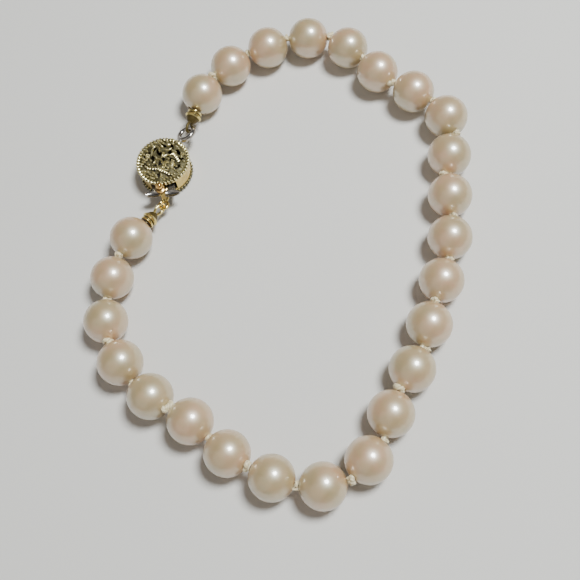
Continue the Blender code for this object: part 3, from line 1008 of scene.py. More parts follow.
# Relief of the plates: kind, thickness in millimetres, places along and across in shares of the half sizes.
RELIEF = (
    (Ornament.ROPE, 0.44, ((0.10, 0.54), (-0.02, 0.65), (-0.12, 0.75), (-0.26, 0.83))),
    (Ornament.ROPE, 0.44, ((-0.32, 0.54), (-0.36, 0.40), (-0.38, 0.26), (-0.40, 0.12), (-0.48, 0.02))),
    (Ornament.ROPE, 0.40, ((0.20, -0.40), (0.08, -0.50), (-0.04, -0.58), (-0.18, -0.66))),
    (Ornament.ROPE, 0.38, ((-0.48, -0.02), (-0.55, -0.16), (-0.63, -0.30), (-0.60, -0.46))),
    (Ornament.SCROLL, 0.32,
     ((0.16, 0.41), (0.38, 0.41), (0.55, 0.35), (0.60, 0.25), (0.50, 0.15), (0.30, 0.11))),
    (Ornament.SCROLL, 0.28, ((0.03, 0.22), (0.02, 0.10), (-0.05, 0.02), (-0.20, -0.04), (-0.36, -0.02))),
    (Ornament.SCROLL, 0.26, ((0.08, -0.04), (0.19, -0.16), (0.18, -0.30), (0.28, -0.40))),
    (Ornament.SCROLL, 0.26, ((-0.14, 0.16), (-0.28, 0.17), (-0.36, 0.08), (-0.42, -0.08), (-0.46, -0.26))),
    (Ornament.SCROLL, 0.24, ((0.44, -0.06), (0.42, -0.24), (0.50, -0.34))),
    (Ornament.LEAF, 0.74, ((0.02, -0.36), (-0.44, -0.34))),
    (Ornament.LEAF, 0.56, ((0.34, -0.02), (0.04, 0.05))),
    (Ornament.LEAF, 0.44, ((-0.52, 0.05), (-0.76, 0.04))),
    (Ornament.LEAF, 0.44, ((0.30, -0.66), (0.04, -0.69))),
    (Ornament.LEAF, 0.34, ((-0.06, -0.08), (-0.34, -0.12))),
    (Ornament.LEAF, 0.44, ((-0.02, 0.26), (-0.20, 0.38))),
    (Ornament.FLOWER, 0.30, ((0.22, 0.57),)),
    (Ornament.GRANULE, 0.70, ((0.62, -0.21),)),
    (Ornament.GRANULE, 0.46, ((0.57, 0.04), (0.69, -0.36), (-0.34, 0.46))),
    (Ornament.GRAIN, 0.34,
     ((0.87, 0.14), (0.83, -0.12), (0.88, -0.34), (0.78, -0.48), (0.57, -0.64), (0.74, 0.02))),
    (Ornament.GRAIN, 0.30,
     ((0.36, -0.37), (0.32, -0.46), (0.68, 0.12), (0.80, 0.30), (0.66, 0.42), (0.44, 0.62),
      (0.30, 0.72), (0.14, 0.74), (0.70, 0.56), (0.40, -0.76), (0.22, -0.80), (-0.08, -0.78),
      (-0.42, 0.66), (-0.46, 0.54), (-0.54, 0.66), (-0.40, 0.78), (-0.56, 0.44), (-0.64, 0.54),
      (-0.52, 0.32), (-0.60, 0.36), (-0.70, 0.40), (-0.62, 0.22), (-0.70, 0.20), (-0.74, 0.30),
      (-0.78, -0.08), (-0.72, -0.18), (-0.74, -0.32), (-0.68, -0.42), (-0.50, -0.56), (-0.32, -0.72))),
    (Ornament.GRAIN, 0.28,
     ((-0.30, -0.06), (-0.34, -0.20), (-0.30, -0.52), (-0.42, -0.44), (-0.12, -0.20), (0.02, -0.22),
      (-0.16, 0.52), (-0.24, 0.62), (0.0, 0.44), (0.10, 0.24), (0.46, -0.56), (0.56, -0.50))),
)


@dataclass
class ClaspBox:
    """Oval box of the clasp: a smooth wall, rope rims, a pierced plate above and below, a silver ring."""

    length: float = 8.8 * MM
    width: float = 8.5 * MM
    wall_height: float = 3.0 * MM
    wall: float = 0.35 * MM
    wall_steps: int = 128
    wall_shade: float = 0.25
    plate: float = 0.3 * MM
    plate_cell: float = 0.11 * MM
    plate_shade: float = 0.66
    dome: float = 0.5 * MM
    rope: float = 0.62 * MM
    rope_core: float = 0.34
    rope_steps: int = 96
    rope_grains: int = 46
    upper_lift: float = 0.7
    lower_lift: float = 0.1
    grain_length: float = 1.2
    grain_width: float = 0.52
    grain_leans: tuple[float, ...] = (-0.1, 1.3)
    grain_skew: float = 68.0
    grain_pitch: float = 0.95
    opening_length: float = 1.2
    opening_width: float = 0.8
    lower_flat: float = 0.25
    relief_steps: int = 14
    # Relief in shares of its own thickness: how high its parts lie, and length and width of its grains.
    line_lift: float = 0.25
    cord_core: float = 0.3
    cord_lift: float = 0.32
    cord_grain: tuple[float, float] = (1.6, 0.72)
    loose_lift: float = 0.3
    loose_grain: tuple[float, float] = (2.2, 1.25)
    granule_lift: float = 0.1
    scroll_tip: float = 0.55
    scroll_taper: float = 3.0
    leaf_point: float = 0.06
    leaf_fullness: float = 0.8
    leaf_bend: float = 0.25
    leaf_height: float = 0.55
    leaf_rib: float = 0.35
    petals: int = 5
    petal_turn: float = 0.3
    petal_reach: float = 0.85
    petal_lift: float = 0.12
    heart_lift: float = 0.3
    heart_radius: float = 0.36
    ring_diameter: float = 3.45 * MM
    ring_wire: float = 0.86 * MM
    ring_off_axis: float = -34.0
    ring_lift: float = 1.1 * MM
    ring_reach: float = 0.52 * MM
    ring_turn: float = -28.0
    mouth_width: float = 4.4 * MM
    mouth_height: float = 1.8 * MM
    heading: float = 77.579
    pitch: float = 3.0
    roll: float = 2.0
    place: tuple[float, float, float] = (-15.6045 * MM, 19.2376 * MM, 2.1039 * MM)

    def matrix(self) -> Matrix:
        """Return the clasp's frame: X towards its ring end, Z out of its upper plate."""
        turn = Matrix.Rotation(math.radians(self.heading), 4, "Z")
        turn @= Matrix.Rotation(math.radians(self.pitch), 4, "Y")
        turn @= Matrix.Rotation(math.radians(self.roll), 4, "X")
        return Matrix.Translation(self.place) @ turn

    def oval(self, angle: float, inset: float, height: float) -> Vector:
        """Return the point of the outline, moved in by an inset, at an angle from X and a height."""
        reach = self.length / 2 - inset
        return Vector((reach * math.cos(angle), (self.width / 2 - inset) * math.sin(angle), height))

    def face_height(self, x: float, y: float) -> float:
        """Return the height of the domed plate above the wall's edge at a point."""
        share = min(1.0, math.hypot(x / (self.length / 2), y / (self.width / 2)))
        return self.dome * (1 - share * share)

    def on_face(self, along: float, across: float, lift: float, side: int) -> Vector:
        """Return a point on a plate.

        Args:
            along: place along the clasp in shares of its half length.
            across: place across it in shares of its half width.
            lift: height above the plate.
            side: 1 for the upper plate, -1 for the lower one.
        """
        x, y = along * self.length / 2, across * self.width / 2
        return Vector((x, y, side * (self.wall_height / 2 + self.face_height(x, y) + lift)))

    def metal_left(self, x: np.ndarray, y: np.ndarray) -> np.ndarray:
        """Say how far each point is from being cut away.

        Args:
            x: places along the clasp.
            y: places across it.

        Returns:
            Positive where metal stays, negative in an opening or outside the oval.
        """
        a, b = self.length / 2 - self.rope / 2, self.width / 2 - self.rope / 2
        left = (1 - np.hypot(x / a, y / b)) * (a + b) / 2
        for along, across, long, wide, turn in OPENINGS:
            swing = math.radians(turn)
            dx, dy = x - along * self.length / 2, y - across * self.width / 2
            u = dx * math.cos(swing) + dy * math.sin(swing)
            v = dy * math.cos(swing) - dx * math.sin(swing)
            half_u = long * self.length / 4 * self.opening_length
            half_v = wide * self.width / 4 * self.opening_width
            edge = (np.hypot(u / half_u, v / half_v) - 1) * (half_u + half_v) / 2
            left = np.minimum(left, edge)
        return left

    def plate_form(self, side: int) -> Form:
        """Cut one pierced plate out of a fine grid.

        Args:
            side: 1 for the upper plate, -1 for the lower one.

        Returns:
            The plate, with walls round every opening.
        """
        half = int(max(self.length, self.width) / 2 / self.plate_cell) + 1
        axis = np.arange(-half, half + 1) * self.plate_cell
        xs, ys = np.meshgrid(axis, axis, indexing="ij")
        left = self.metal_left(xs, ys)
        points: list[Vector] = []
        index: dict[Any, int] = {}

        def corner(i: int, j: int) -> int:
            """Return the number of a grid point that stays."""
            key = (i, j)
            if key not in index:
                index[key] = len(points)
                points.append(Vector((xs[i, j], ys[i, j], 0.0)))
            return index[key]

        def crossing(i: int, j: int, k: int, m: int) -> int:
            """Return the number of the point where an edge between two grid points meets the cut."""
            key = (min((i, j), (k, m)), max((i, j), (k, m)))
            if key not in index:
                share = left[i, j] / (left[i, j] - left[k, m])
                x = xs[i, j] + (xs[k, m] - xs[i, j]) * share
                y = ys[i, j] + (ys[k, m] - ys[i, j]) * share
                index[key] = len(points)
                points.append(Vector((x, y, 0.0)))
            return index[key]

        faces: list[tuple[int, ...]] = []
        for i in range(2 * half):
            for j in range(2 * half):
                loop = ((i, j), (i + 1, j), (i + 1, j + 1), (i, j + 1))
                inside = [left[c] > 0 for c in loop]
                if not any(inside):
                    continue
                face: list[int] = []
                for k in range(4):
                    here, after = loop[k], loop[(k + 1) % 4]
                    if inside[k]:
                        face.append(corner(*here))
                    if inside[k] != inside[(k + 1) % 4]:
                        face.append(crossing(*here, *after))
                if len(face) > 2:
                    faces.append(tuple(face))
        count = len(points)
        edges: dict[tuple[int, int], int] = {}
        for face in faces:
            for k, here in enumerate(face):
                edges[(here, face[(k + 1) % len(face)])] = 1
        walls = [(a, b, b + count, a + count) for a, b in edges if (b, a) not in edges]
        rim = self.wall_height / 2
        top = [Vector((p.x, p.y, side * (rim + self.face_height(p.x, p.y)))) for p in points]
        low = [Vector((p.x, p.y, side * (rim + self.face_height(p.x, p.y) - self.plate))) for p in points]
        under = [tuple(number + count for number in reversed(face)) for face in faces]
        shell = [tuple(reversed(face)) for face in faces + under + [tuple(reversed(w)) for w in walls]]
        if side > 0:
            shell = [tuple(reversed(face)) for face in shell]
        form = Form()
        # Painted shade: the top takes plate_shade, the underside and the walls of the openings full shade.
        form.add(top + low, shell, [self.plate_shade] * count + [1.0] * count)
        return form

    def rope_form(self, side: int) -> Form:
        """Lay a rope of slanted grains round the edge of a plate.

        Args:
            side: 1 for the upper rim, -1 for the lower one.

        Returns:
            The rope.
        """
        form = Form()
        high = side * self.wall_height / 2
        core = self.rope * self.rope_core
        lift = core * (self.upper_lift if side > 0 else self.lower_lift)
        length, width = self.rope * self.grain_length, self.rope * self.grain_width
        heart = [self.oval(turn, self.rope / 2, high) for turn in turns(self.rope_steps)]
        # The core under the grains is painted dark, a painted shade between them.
        form.tube(heart, [core] * self.rope_steps, 10, True, hint=UP, depth=0.9)
        for turn in turns(self.rope_grains):
            centre = self.oval(turn, self.rope / 2, high)
            along = self.oval(turn + 0.01, self.rope / 2, high) - centre
            outward = along.cross(UP).normalized()
            for lean in self.grain_leans:
                up = UP * side * math.cos(lean) + outward * math.sin(lean)
                form.grain(centre + up * lift, along, up, length, width, -self.grain_skew * side)
        return form

    def wall_form(self) -> Form:
        """Return the smooth wall, with the mouth for the tongue cut through it."""
        form = Form()
        high = self.wall_height / 2
        mouth = self.mouth_height / 2
        gap = math.asin(self.mouth_width / self.width)
        outer = self.rope / 2
        inner = outer + self.wall

        def band(first: float, last: float, low: float, top: float) -> None:
            """Add a curved strip of the wall between two angles and two heights."""
            rings = []
            for step in range(self.wall_steps + 1):
                turn = first + (last - first) * step / self.wall_steps
                corners = ((outer, low), (outer, top), (inner, top), (inner, low))
                rings.append([self.oval(turn, inset, z) for inset, z in corners])
            # Painted shade: the inner face is full shade; the outer face takes wall_shade.
            form.skin(rings, [[self.wall_shade, self.wall_shade, 1.0, 1.0] for _ in rings])

        band(math.pi + gap, 3 * math.pi - gap, -high, high)
        band(math.pi - gap, math.pi + gap, mouth, high)
        band(math.pi - gap, math.pi + gap, -high, -mouth)
        return form

    def relief_form(self, side: int) -> Form:
        """Lay ropes, scrolls, leaves, flowers and granules on a plate.

        Args:
            side: 1 for the upper plate, -1 for the lower one, whose relief is flatter to clear the board.

        Returns:
            The relief.
        """
        form = Form()
        flat = 1.0 if side > 0 else self.lower_flat
        for kind, thickness, places in RELIEF:
            size = thickness * MM
            if kind in (Ornament.ROPE, Ornament.SCROLL):
                line = [self.on_face(a, b, size * self.line_lift * flat, side) for a, b in places]
                path = smooth_path(line, self.relief_steps)
                if kind is Ornament.SCROLL:
                    count = len(path)
                    near = [min(k, count - 1 - k) / count for k in range(count)]
                    radii = [size / 2 * min(1.0, self.scroll_tip + self.scroll_taper * n) for n in near]
                    form.tube(path, radii, 10, hint=UP * side, flat=flat)
                else:
                    self.lay_rope(form, path, size, flat, side)
            elif kind is Ornament.LEAF:
                self.lay_leaf(form, places, size, flat, side)
            elif kind is Ornament.GRAIN:
                slant = Vector((1.0, 1.0, 0.0))
                length, width = (size * share for share in self.loose_grain)
                for along, across in places:
                    centre = self.on_face(along, across, size * self.loose_lift * flat, side)
                    form.grain(centre, slant, UP * side, length, width * flat, 0.0)
            elif kind is Ornament.GRANULE:
                for along, across in places:
                    centre = self.on_face(along, across, size * self.granule_lift * flat, side)
                    form.granule(centre, size / 2 * flat)
            else:
                self.lay_flower(form, places[0], size, flat, side)
        return form

    def lay_rope(self, form: Form, path: list[Vector], size: float, flat: float, side: int) -> None:
        """Lay a rope of slanted grains along a path.

        Args:
            form: what it is added to.
            path: its centre line.
            size: its thickness.
            flat: height in shares of its width.
            side: 1 above, -1 below.
        """
        # The core under the grains is painted dark, a painted shade between them.
        form.tube(path, [size * self.cord_core] * len(path), 8, hint=UP * side, flat=flat, depth=0.8)
        length, width = (size * share for share in self.cord_grain)
        pitch = gone = size * self.grain_pitch
        for before, here in zip(path, path[1:]):
            gone += (here - before).length
            if gone >= pitch:
                gone = 0.0
                centre = here + UP * side * size * self.cord_lift * flat
                form.grain(centre, here - before, UP * side, length, width * flat, -self.grain_skew)

    def lay_leaf(self, form: Form, places: tuple, size: float, flat: float, side: int) -> None:
        """Lay a pointed leaf with a raised rib.

        Args:
            form: what it is added to.
            places: its two tips.
            size: its width.
            flat: height in shares of its full height.
            side: 1 above, -1 below.
        """
        tips = [self.on_face(a, b, 0.0, side) for a, b in places]
        along = tips[1] - tips[0]
        across = UP.cross(along).normalized()
        rings, rows = [], []
        steps, sides = 16, 12
        for step in range(steps + 1):
            t = step / steps
            swelling = math.sin(math.pi * t**self.leaf_fullness) ** self.leaf_fullness
            half = size / 2 * max(self.leaf_point, swelling)
            bend = across * math.sin(math.pi * t) * size * self.leaf_bend
            middle = tips[0] + along * t + bend
            middle.z = side * (self.wall_height / 2 + self.face_height(middle.x, middle.y))
            ring, row = [], []
            for angle in turns(sides):
                swell = math.sin(angle)
                rib = self.leaf_rib * max(0.0, math.cos(angle * 2 + math.pi)) if swell > 0 else 0.0
                height = half * (self.leaf_height * swell + rib) * flat
                ring.append(middle + across * math.cos(angle) * half + UP * side * height)
                # Painted shade: light on the leaf's upper face, dark on its edges and underside.
                row.append(0.1 if swell > 0.3 else 0.8)
            rings.append(ring)
            rows.append(row)
        form.skin(rings, rows)

    def lay_flower(self, form: Form, place: tuple[float, float], size: float, flat: float, side: int) -> None:
        """Lay five round petals about a granule.

        Args:
            form: what it is added to.
            place: its middle along and across.
            size: size of a petal.
            flat: height in shares of its full height.
            side: 1 above, -1 below.
        """
        middle = self.on_face(*place, 0.0, side)
        rise = UP * side * size * flat
        for turn in turns(self.petals):
            swing = turn + self.petal_turn
            out = Vector((math.cos(swing), math.sin(swing), 0.0)) * size * self.petal_reach
            form.granule(middle + out + rise * self.petal_lift, size / 2 * flat)
        form.granule(middle + rise * self.heart_lift, size * self.heart_radius * flat)

    def ring_centre(self) -> tuple[Vector, Vector]:
        """Return the silver ring's middle and the direction in which it stands off, in the clasp's frame."""
        turn = math.radians(self.ring_off_axis)
        foot = self.oval(turn, self.rope / 2, self.ring_lift)
        outward = Vector((math.cos(turn), math.sin(turn), 0.0))
        return foot + outward * (self.ring_reach + self.ring_diameter / 2), outward

    def ring_form(self) -> Form:
        """Return the silver ring on its short post."""
        form = Form()
        centre, outward = self.ring_centre()
        lie = Matrix.Translation(centre) @ aim(outward, self.ring_turn)
        form.hoop(lie, self.ring_diameter, self.ring_diameter, self.ring_wire, 48, 0.15)
        foot = centre - outward * (self.ring_diameter / 2 + self.ring_reach + self.wall / 2)
        head = centre - outward * (self.ring_diameter - self.ring_wire) / 2
        shares = [k / 6 for k in range(7)]
        radii = [self.ring_wire / 2 * (1.15 - 0.15 * share) for share in shares]
        form.tube([foot.lerp(head, share) for share in shares], radii, WIRE_SIDES, hint=UP, depth=0.4)
        return form

    def build(self) -> None:
        """Make the pieces of the box; together they stand for its node."""
        frame_of_clasp = self.matrix()
        antique = METAL_FINISHES[Metal.ANTIQUE_GOLD].material("antique_gilt")
        polished = METAL_FINISHES[Metal.GOLD].material("polished_gilt_wall")
        parts = [("clasp_wall", self.wall_form(), polished, Metal.GOLD)]
        for name, side in (("upper", 1), ("lower", -1)):
            parts.append(("clasp_%s_plate" % name, self.plate_form(side), antique, Metal.ANTIQUE_GOLD))
            parts.append(("clasp_%s_rope" % name, self.rope_form(side), antique, Metal.ANTIQUE_GOLD))
            parts.append(("clasp_%s_relief" % name, self.relief_form(side), antique, Metal.ANTIQUE_GOLD))
        silver = METAL_FINISHES[Metal.SILVER].material("clasp_ring_silver")
        parts.append(("clasp_silver_ring", self.ring_form(), silver, Metal.SILVER))
        for name, form, material, metal in parts:
            piece = form.finish(name, material, frame_of_clasp)
            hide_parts("clasp_box")
        log.info("clasp box: %d pieces", len(parts))


@dataclass
class ClaspTongue:
    """Spring tongue: a leaf folded in the box, silver wings, a gilt stem with its ring, a ball to press."""

    box: ClaspBox
    leaf_width: float = 3.5 * MM
    thickness: float = 0.3 * MM
    spread: float = 1.1 * MM
    depth: float = 6.2 * MM
    wing_span: float = 5.4 * MM
    wing_length: float = 1.25 * MM
    wing_clearance: float = 0.5 * MM
    wing_gap: float = 0.9 * MM
    wing_cup: float = 0.3 * MM
    wing_root: float = 0.22
    wing_run: float = 0.74
    wing_dip: float = 0.4
    wing_fullness: float = 0.6
    stem_width: float = 1.6 * MM
    stem_neck: float = 1.0 * MM
    stem_aside: float = -0.25 * MM
    stem_taper: float = 0.8
    stem_height: float = 0.75
    ring_diameter: float = 1.75 * MM
    ring_wire: float = 0.45 * MM
    reach: float = 2.45 * MM
    ball: float = 1.1 * MM
    ball_lift: float = 2.1 * MM
    collar: float = 1.55 * MM
    ball_out: float = 0.55 * MM
    ball_aside: float = 0.25 * MM
    ball_seat: float = 0.22
    ball_steps: int = 14
    fold_steps: int = 8
    # Rows of the collar: height in shares of the neck, radius in shares of the collar's, and depth mark, a
    # painted shade at its foot and in the crease under the ball.
    collar_rows: tuple[tuple[float, float, float], ...] = (
        (0.0, 0.55, 0.7),
        (0.4, 0.45, 0.7),
        (0.55, 0.8, 0.6),
        (0.62, 0.97, 0.2),
        (0.72, 1.0, 0.1),
        (0.82, 0.92, 0.2),
        (0.88, 0.7, 0.5),
        (0.92, 0.45, 0.9),
    )

    def front(self) -> float:
        """Return where the box's mouth is along the clasp."""
        return -self.box.length / 2

    def leaf_form(self) -> Form:
        """Return the folded leaf, which ends where the wings begin."""
        form = Form()
        reach = (self.spread - self.thickness) / 2
        start = self.front() - self.wing_clearance - self.thickness
        bend = self.front() + self.depth - self.spread / 2
        line = [Vector((start, 0, -reach))]
        for k in range(self.fold_steps + 1):
            turn = math.pi * k / self.fold_steps - math.pi / 2
            line.append(Vector((bend + reach * math.cos(turn), 0, reach * math.sin(turn))))
        line.append(Vector((start, 0, reach)))
        rings = []
        for i, point in enumerate(line):
            ahead, behind = line[min(i + 1, len(line) - 1)], line[max(i - 1, 0)]
            along = (ahead - behind).normalized()
            up = along.cross(Vector((0, 1, 0))).normalized() * self.thickness / 2
            side = Vector((0, self.leaf_width / 2, 0))
            rings.append([point - side - up, point + side - up, point + side + up, point - side + up])
        form.skin(rings, [[0.3] * 4 for _ in rings])
        return form

    def wing_form(self) -> Form:
        """Return the two silver wings: rounded petals that cup upwards, one on either side of the stem."""
        form = Form()
        first, last = self.wing_gap / 2, self.wing_span / 2
        middle = self.front() - self.wing_clearance - self.wing_length / 2
        steps, sides = 20, 16
        for sign in (1, -1):
            rings, rows = [], []
            for step in range(steps + 1):
                t = step / steps
                sweep = math.pi * (self.wing_root + self.wing_run * t)
                chord = self.wing_length / 2 * math.sin(sweep) ** self.wing_fullness
                cup = self.wing_cup * (t - self.wing_dip) ** 2 * 2
                y = sign * (first + (last - first) * t)
                ring, row = [], []
                for angle in turns(sides):
                    lip = self.wing_cup * math.cos(angle) ** 2
                    thick = self.thickness / 2 * swollen(math.sin(angle), 0.5)
                    height = self.spread / 2 - self.thickness / 2 + cup + lip + thick
                    ring.append(Vector((middle + chord * math.cos(angle), y, height)))
                    # Painted shade: light on the upper face, darker underneath.
                    row.append(0.1 if math.sin(angle) > 0 else 0.5)
                rings.append(ring)
                rows.append(row)
            form.skin(rings if sign > 0 else rings[::-1], rows if sign > 0 else rows[::-1])
        return form

    def stem_form(self) -> Form:
        """Return the gilt stem with its ring."""
        form = Form()
        low = -self.spread / 2 + self.thickness / 2
        start = self.front() - self.wing_clearance / 2
        ring_x = self.front() - self.reach
        edge = ring_x + self.ring_diameter / 2 - self.ring_wire / 2
        angles = turns(16)
        steps = 12
        rings = []
        for step in range(steps + 1):
            t = step / steps
            x = start + (edge - start) * t
            width = self.stem_width / 2 + (self.stem_neck - self.stem_width) / 2 * t**self.stem_taper
            aside = self.stem_aside * math.sin(math.pi * min(1.0, 1.4 * (1 - t)))
            rise = low + (self.spread / 2 - low) * (0.5 + 0.5 * math.cos(math.pi * t))
            ring = []
            for angle in angles:
                y = aside + width * swollen(math.cos(angle), 0.6)
                z = rise + self.thickness * self.stem_height * swollen(math.sin(angle), 0.8)
                ring.append(Vector((x, y, z)))
            rings.append(ring)
        # Painted shade: light on top, darker underneath.
        form.skin(rings, [[0.05 if math.sin(angle) > 0 else 0.5 for angle in angles] for _ in rings])
        lie = Matrix.Translation((ring_x, 0, low))
        form.hoop(lie, self.ring_diameter, self.ring_diameter, self.ring_wire, 40, 0.1)
        return form

    def ball_form(self) -> Form:
        """Return the ball on its collar."""
        form = Form()
        ball = self.ball / 2
        foot = self.spread / 2 - self.thickness
        seat = self.ball_seat
        neck = self.ball_lift - ball * math.cos(math.pi * seat) - foot
        profile = [(foot + neck * up, self.collar / 2 * share) for up, share, _ in self.collar_rows]
        for k in range(self.ball_steps):
            turn = math.pi * (seat + (1 - seat) * k / self.ball_steps)
            profile.append((self.ball_lift - ball * math.cos(turn), ball * math.sin(turn)))
        place = Matrix.Translation((self.front() - self.ball_out, self.ball_aside, 0))
        stand = place @ Matrix.Rotation(-math.pi / 2, 4, "Y")
        # The crease where the ball sits on its collar is painted shade; the ball stays light.
        depths = [depth for _, _, depth in self.collar_rows] + [0.6] + [0.1] * (self.ball_steps - 1)
        form.lathe(profile, 32, stand, depths)
        return form

    def build(self) -> None:
        """Make the tongue's pieces; together they stand for its node."""
        silver = METAL_FINISHES[Metal.SILVER].material("tongue_silver")
        gold = METAL_FINISHES[Metal.GOLD].material("tongue_gilt")
        parts = (
            ("tongue_leaf", self.leaf_form(), silver, Metal.SILVER),
            ("tongue_wings", self.wing_form(), silver, Metal.SILVER),
            ("tongue_stem", self.stem_form(), gold, Metal.GOLD),
            ("tongue_ball", self.ball_form(), ORANGE_GILT.material("orange_gilt_ball"), Metal.GOLD),
        )
        for name, form, material, metal in parts:
            piece = form.finish(name, material, self.box.matrix())
            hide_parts("clasp_tongue")
        log.info("clasp tongue: %d pieces", len(parts))

    def ring_centre(self) -> Vector:
        """Return the middle of the tongue's ring in the clasp's frame."""
        return Vector((self.front() - self.reach, 0.0, -(self.spread - self.thickness) / 2))


@dataclass
class BeadTip:
    """Gilt bead tip: a ribbed cup that holds the thread's end, and its wire loop through the clasp's ring."""

    node: str
    pearl: Vector
    target: Vector
    turn: float
    loop_length: float
    tarnish_and_shade: float
    rib: float = 2.6 * MM
    length: float = 1.95 * MM
    seat: float = 0.2 * MM
    hole: float = 1.1 * MM
    loop_width: float = 1.85 * MM
    wire: float = 0.45 * MM
    sink: float = 0.25 * MM
    pinch: float = 0.22
    pearl_radius: float = 3.25 * MM
    # Rows of the cup: place in shares of its length, radius in shares of the rib's, and depth mark, a painted
    # shade in the grooves between ribs and on the cone below them.
    rows: tuple[tuple[float, float, float], ...] = (
        (0.0, 0.74, 0.7),
        (0.02, 0.82, 0.3),
        (0.06, 0.87, 0.1),
        (0.12, 0.87, 0.1),
        (0.17, 0.82, 0.4),
        (0.21, 0.73, 0.9),
        (0.27, 0.73, 0.9),
        (0.31, 0.84, 0.4),
        (0.36, 0.94, 0.1),
        (0.43, 1.0, 0.0),
        (0.50, 0.97, 0.0),
        (0.56, 0.90, 0.2),
        (0.62, 0.80, 0.8),
        (0.72, 0.72, 0.85),
        (0.86, 0.62, 0.8),
        (1.0, 0.44, 0.8),
        (1.1, 0.25, 0.9),
    )

    def build(self, material: bpy.types.Material) -> None:
        """Make the tip in the place of its node.

        Args:
            material: the gilt that it is made of.
        """
        form = Form()
        heading = Matrix.Translation(self.pearl) @ aim(self.target - self.pearl)
        start = self.pearl_radius + self.seat
        inner = self.hole / 2
        profile = [(start + self.hole, inner * 0.1), (start + self.hole, inner), (start, inner)]
        profile += [(start + along * self.length, share * self.rib / 2) for along, share, _ in self.rows]
        # The mouth of the bore is painted full shade.
        depths = [1.0, 1.0, 1.0] + [depth for _, _, depth in self.rows]
        form.lathe(profile, 48, heading, depths)
        middle = start + self.length - self.sink + self.loop_length / 2
        lie = heading @ Matrix.Translation((middle, 0, 0)) @ Matrix.Rotation(math.radians(self.turn), 4, "X")
        # The loop is darkened by its tarnish value, which on tip b is a painted shadow.
        form.hoop(lie, self.loop_length, self.loop_width, self.wire, 48, self.tarnish_and_shade, self.pinch, 14)
        piece = form.finish("gilt_" + self.node, material)
        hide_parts(self.node)
        log.info("bead tip: %s", self.node)


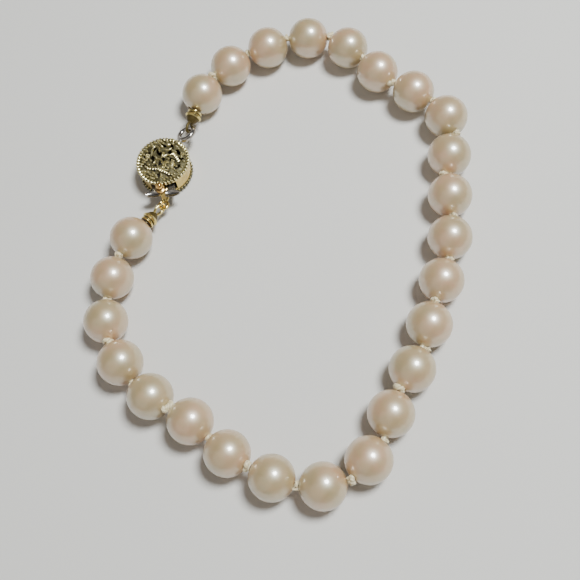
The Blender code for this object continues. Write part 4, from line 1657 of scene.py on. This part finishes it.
@dataclass
class Studio:
    """Pale board, soft lights and the camera of the photograph."""

    board: float = 3.0
    camera_place: tuple[float, float, float] = (-1.68 * MM, -52.37 * MM, 109.07 * MM)
    camera_pitch: float = 67.01
    camera_roll: float = -15.414
    focal_pixels: float = 796.5
    sensor: float = 36.0
    key_place: tuple[float, float, float] = (181 * MM, 19 * MM, 435 * MM)
    key_size: float = 145 * MM
    key_power: float = 3.6
    fill_place: tuple[float, float, float] = (-700 * MM, -500 * MM, 900 * MM)
    fill_size: float = 1600 * MM
    fill_power: float = 2.5
    key_tint: Colour = (0.92, 0.98, 1.0)
    fill_tint: Colour = (1.0, 0.95, 0.88)
    sky_low: Colour = (0.61, 0.59, 0.56)
    sky_high: Colour = (0.12, 0.12, 0.125)
    sky_strength: float = 0.62

    def lay_board(self) -> None:
        """Lay the board under the bracelet."""
        half = self.board / 2
        corners = [(-half, -half, 0.0), (half, -half, 0.0), (half, half, 0.0), (-half, half, 0.0)]
        mesh = bpy.data.meshes.new("pale_board")
        mesh.from_pydata(corners, [], [(0, 1, 2, 3)])
        mesh.materials.append(PaleBoard().material("pale_board"))
        board = bpy.data.objects.new("pale_board", mesh)
        bpy.context.scene.collection.objects.link(board)

    def hang_light(
        self, name: str, place: tuple[float, float, float], size: float, power: float, tint: Colour
    ) -> None:
        """Hang a round soft light that faces the bracelet.

        Args:
            name: the light's name.
            place: where it hangs.
            size: its diameter.
            power: its power in watts.
            tint: its colour.
        """
        data = bpy.data.lights.new(name, "AREA")
        data.shape = "DISK"
        data.size = size
        data.energy = power
        data.color = tint
        light = bpy.data.objects.new(name, data)
        light.location = place
        light.rotation_mode = "QUATERNION"
        light.rotation_quaternion = Vector(place).to_track_quat("Z", "Y")
        bpy.context.scene.collection.objects.link(light)

    def light_room(self) -> None:
        """Give the room pale walls and a darker ceiling."""
        world = bpy.data.worlds.new("studio_room")
        world.use_nodes = True
        bpy.context.scene.world = world
        graph = Graph(world.node_tree)
        ray = graph.node("ShaderNodeTexCoord", output="Generated")
        height = graph.node("ShaderNodeSeparateXYZ", values={0: ray}, output="Z")
        colour = graph.mix(height.spread(0.05, 0.75), self.sky_low, self.sky_high)
        back = world.node_tree.nodes["Background"]
        graph.feed(back.inputs["Color"], colour)
        graph.feed(back.inputs["Strength"], self.sky_strength)

    def set_camera(self) -> None:
        """Put the camera where the photograph was taken from."""
        data = bpy.data.cameras.new("photo_camera")
        data.sensor_fit = "HORIZONTAL"
        data.sensor_width = self.sensor
        data.lens = self.sensor * self.focal_pixels / PHOTO_WIDTH
        data.clip_start = 5 * MM
        data.clip_end = 10.0
        camera = bpy.data.objects.new("photo_camera", data)
        tilt = Matrix.Rotation(math.radians(90 - self.camera_pitch), 4, "X")
        roll = Matrix.Rotation(math.radians(self.camera_roll), 4, "Z")
        camera.matrix_world = Matrix.Translation(self.camera_place) @ tilt @ roll
        bpy.context.scene.collection.objects.link(camera)
        bpy.context.scene.camera = camera

    def build(self) -> None:
        """Set up the studio."""
        self.lay_board()
        self.hang_light("key_light", self.key_place, self.key_size, self.key_power, self.key_tint)
        self.hang_light("fill_light", self.fill_place, self.fill_size, self.fill_power, self.fill_tint)
        self.light_room()
        self.set_camera()
        log.info("studio")


def main() -> None:
    """Build the bracelet's pieces in order, then the studio."""
    logging.basicConfig(level=logging.INFO, format="%(name)s: %(message)s")
    row = PearlRow()
    row.build()
    SilkThread(row).build()
    box = ClaspBox()
    box.build()
    tongue = ClaspTongue(box)
    tongue.build()
    clasp = box.matrix()
    gilt = LEMON_GILT.material("bead_tip_gilt")
    centres = row.centres()
    low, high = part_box("pearl_01")
    level = (low.z + high.z) / 2
    # Tip b's loop is painted dark as a painted shadow; tip a's stays light.
    for node, pearl, target, turn, loop, tarnish_and_shade in (
        ("bead_tip_a", centres[-1], clasp @ tongue.ring_centre(), 65.0, 2.6 * MM, 0.1),
        ("bead_tip_b", centres[0], clasp @ box.ring_centre()[0], 98.0, 2.1 * MM, 0.7),
    ):
        BeadTip(node, Vector((pearl.x, pearl.y, level)), target, turn, loop, tarnish_and_shade).build(gilt)
    Studio().build()


if __name__ == "__main__":
    main()
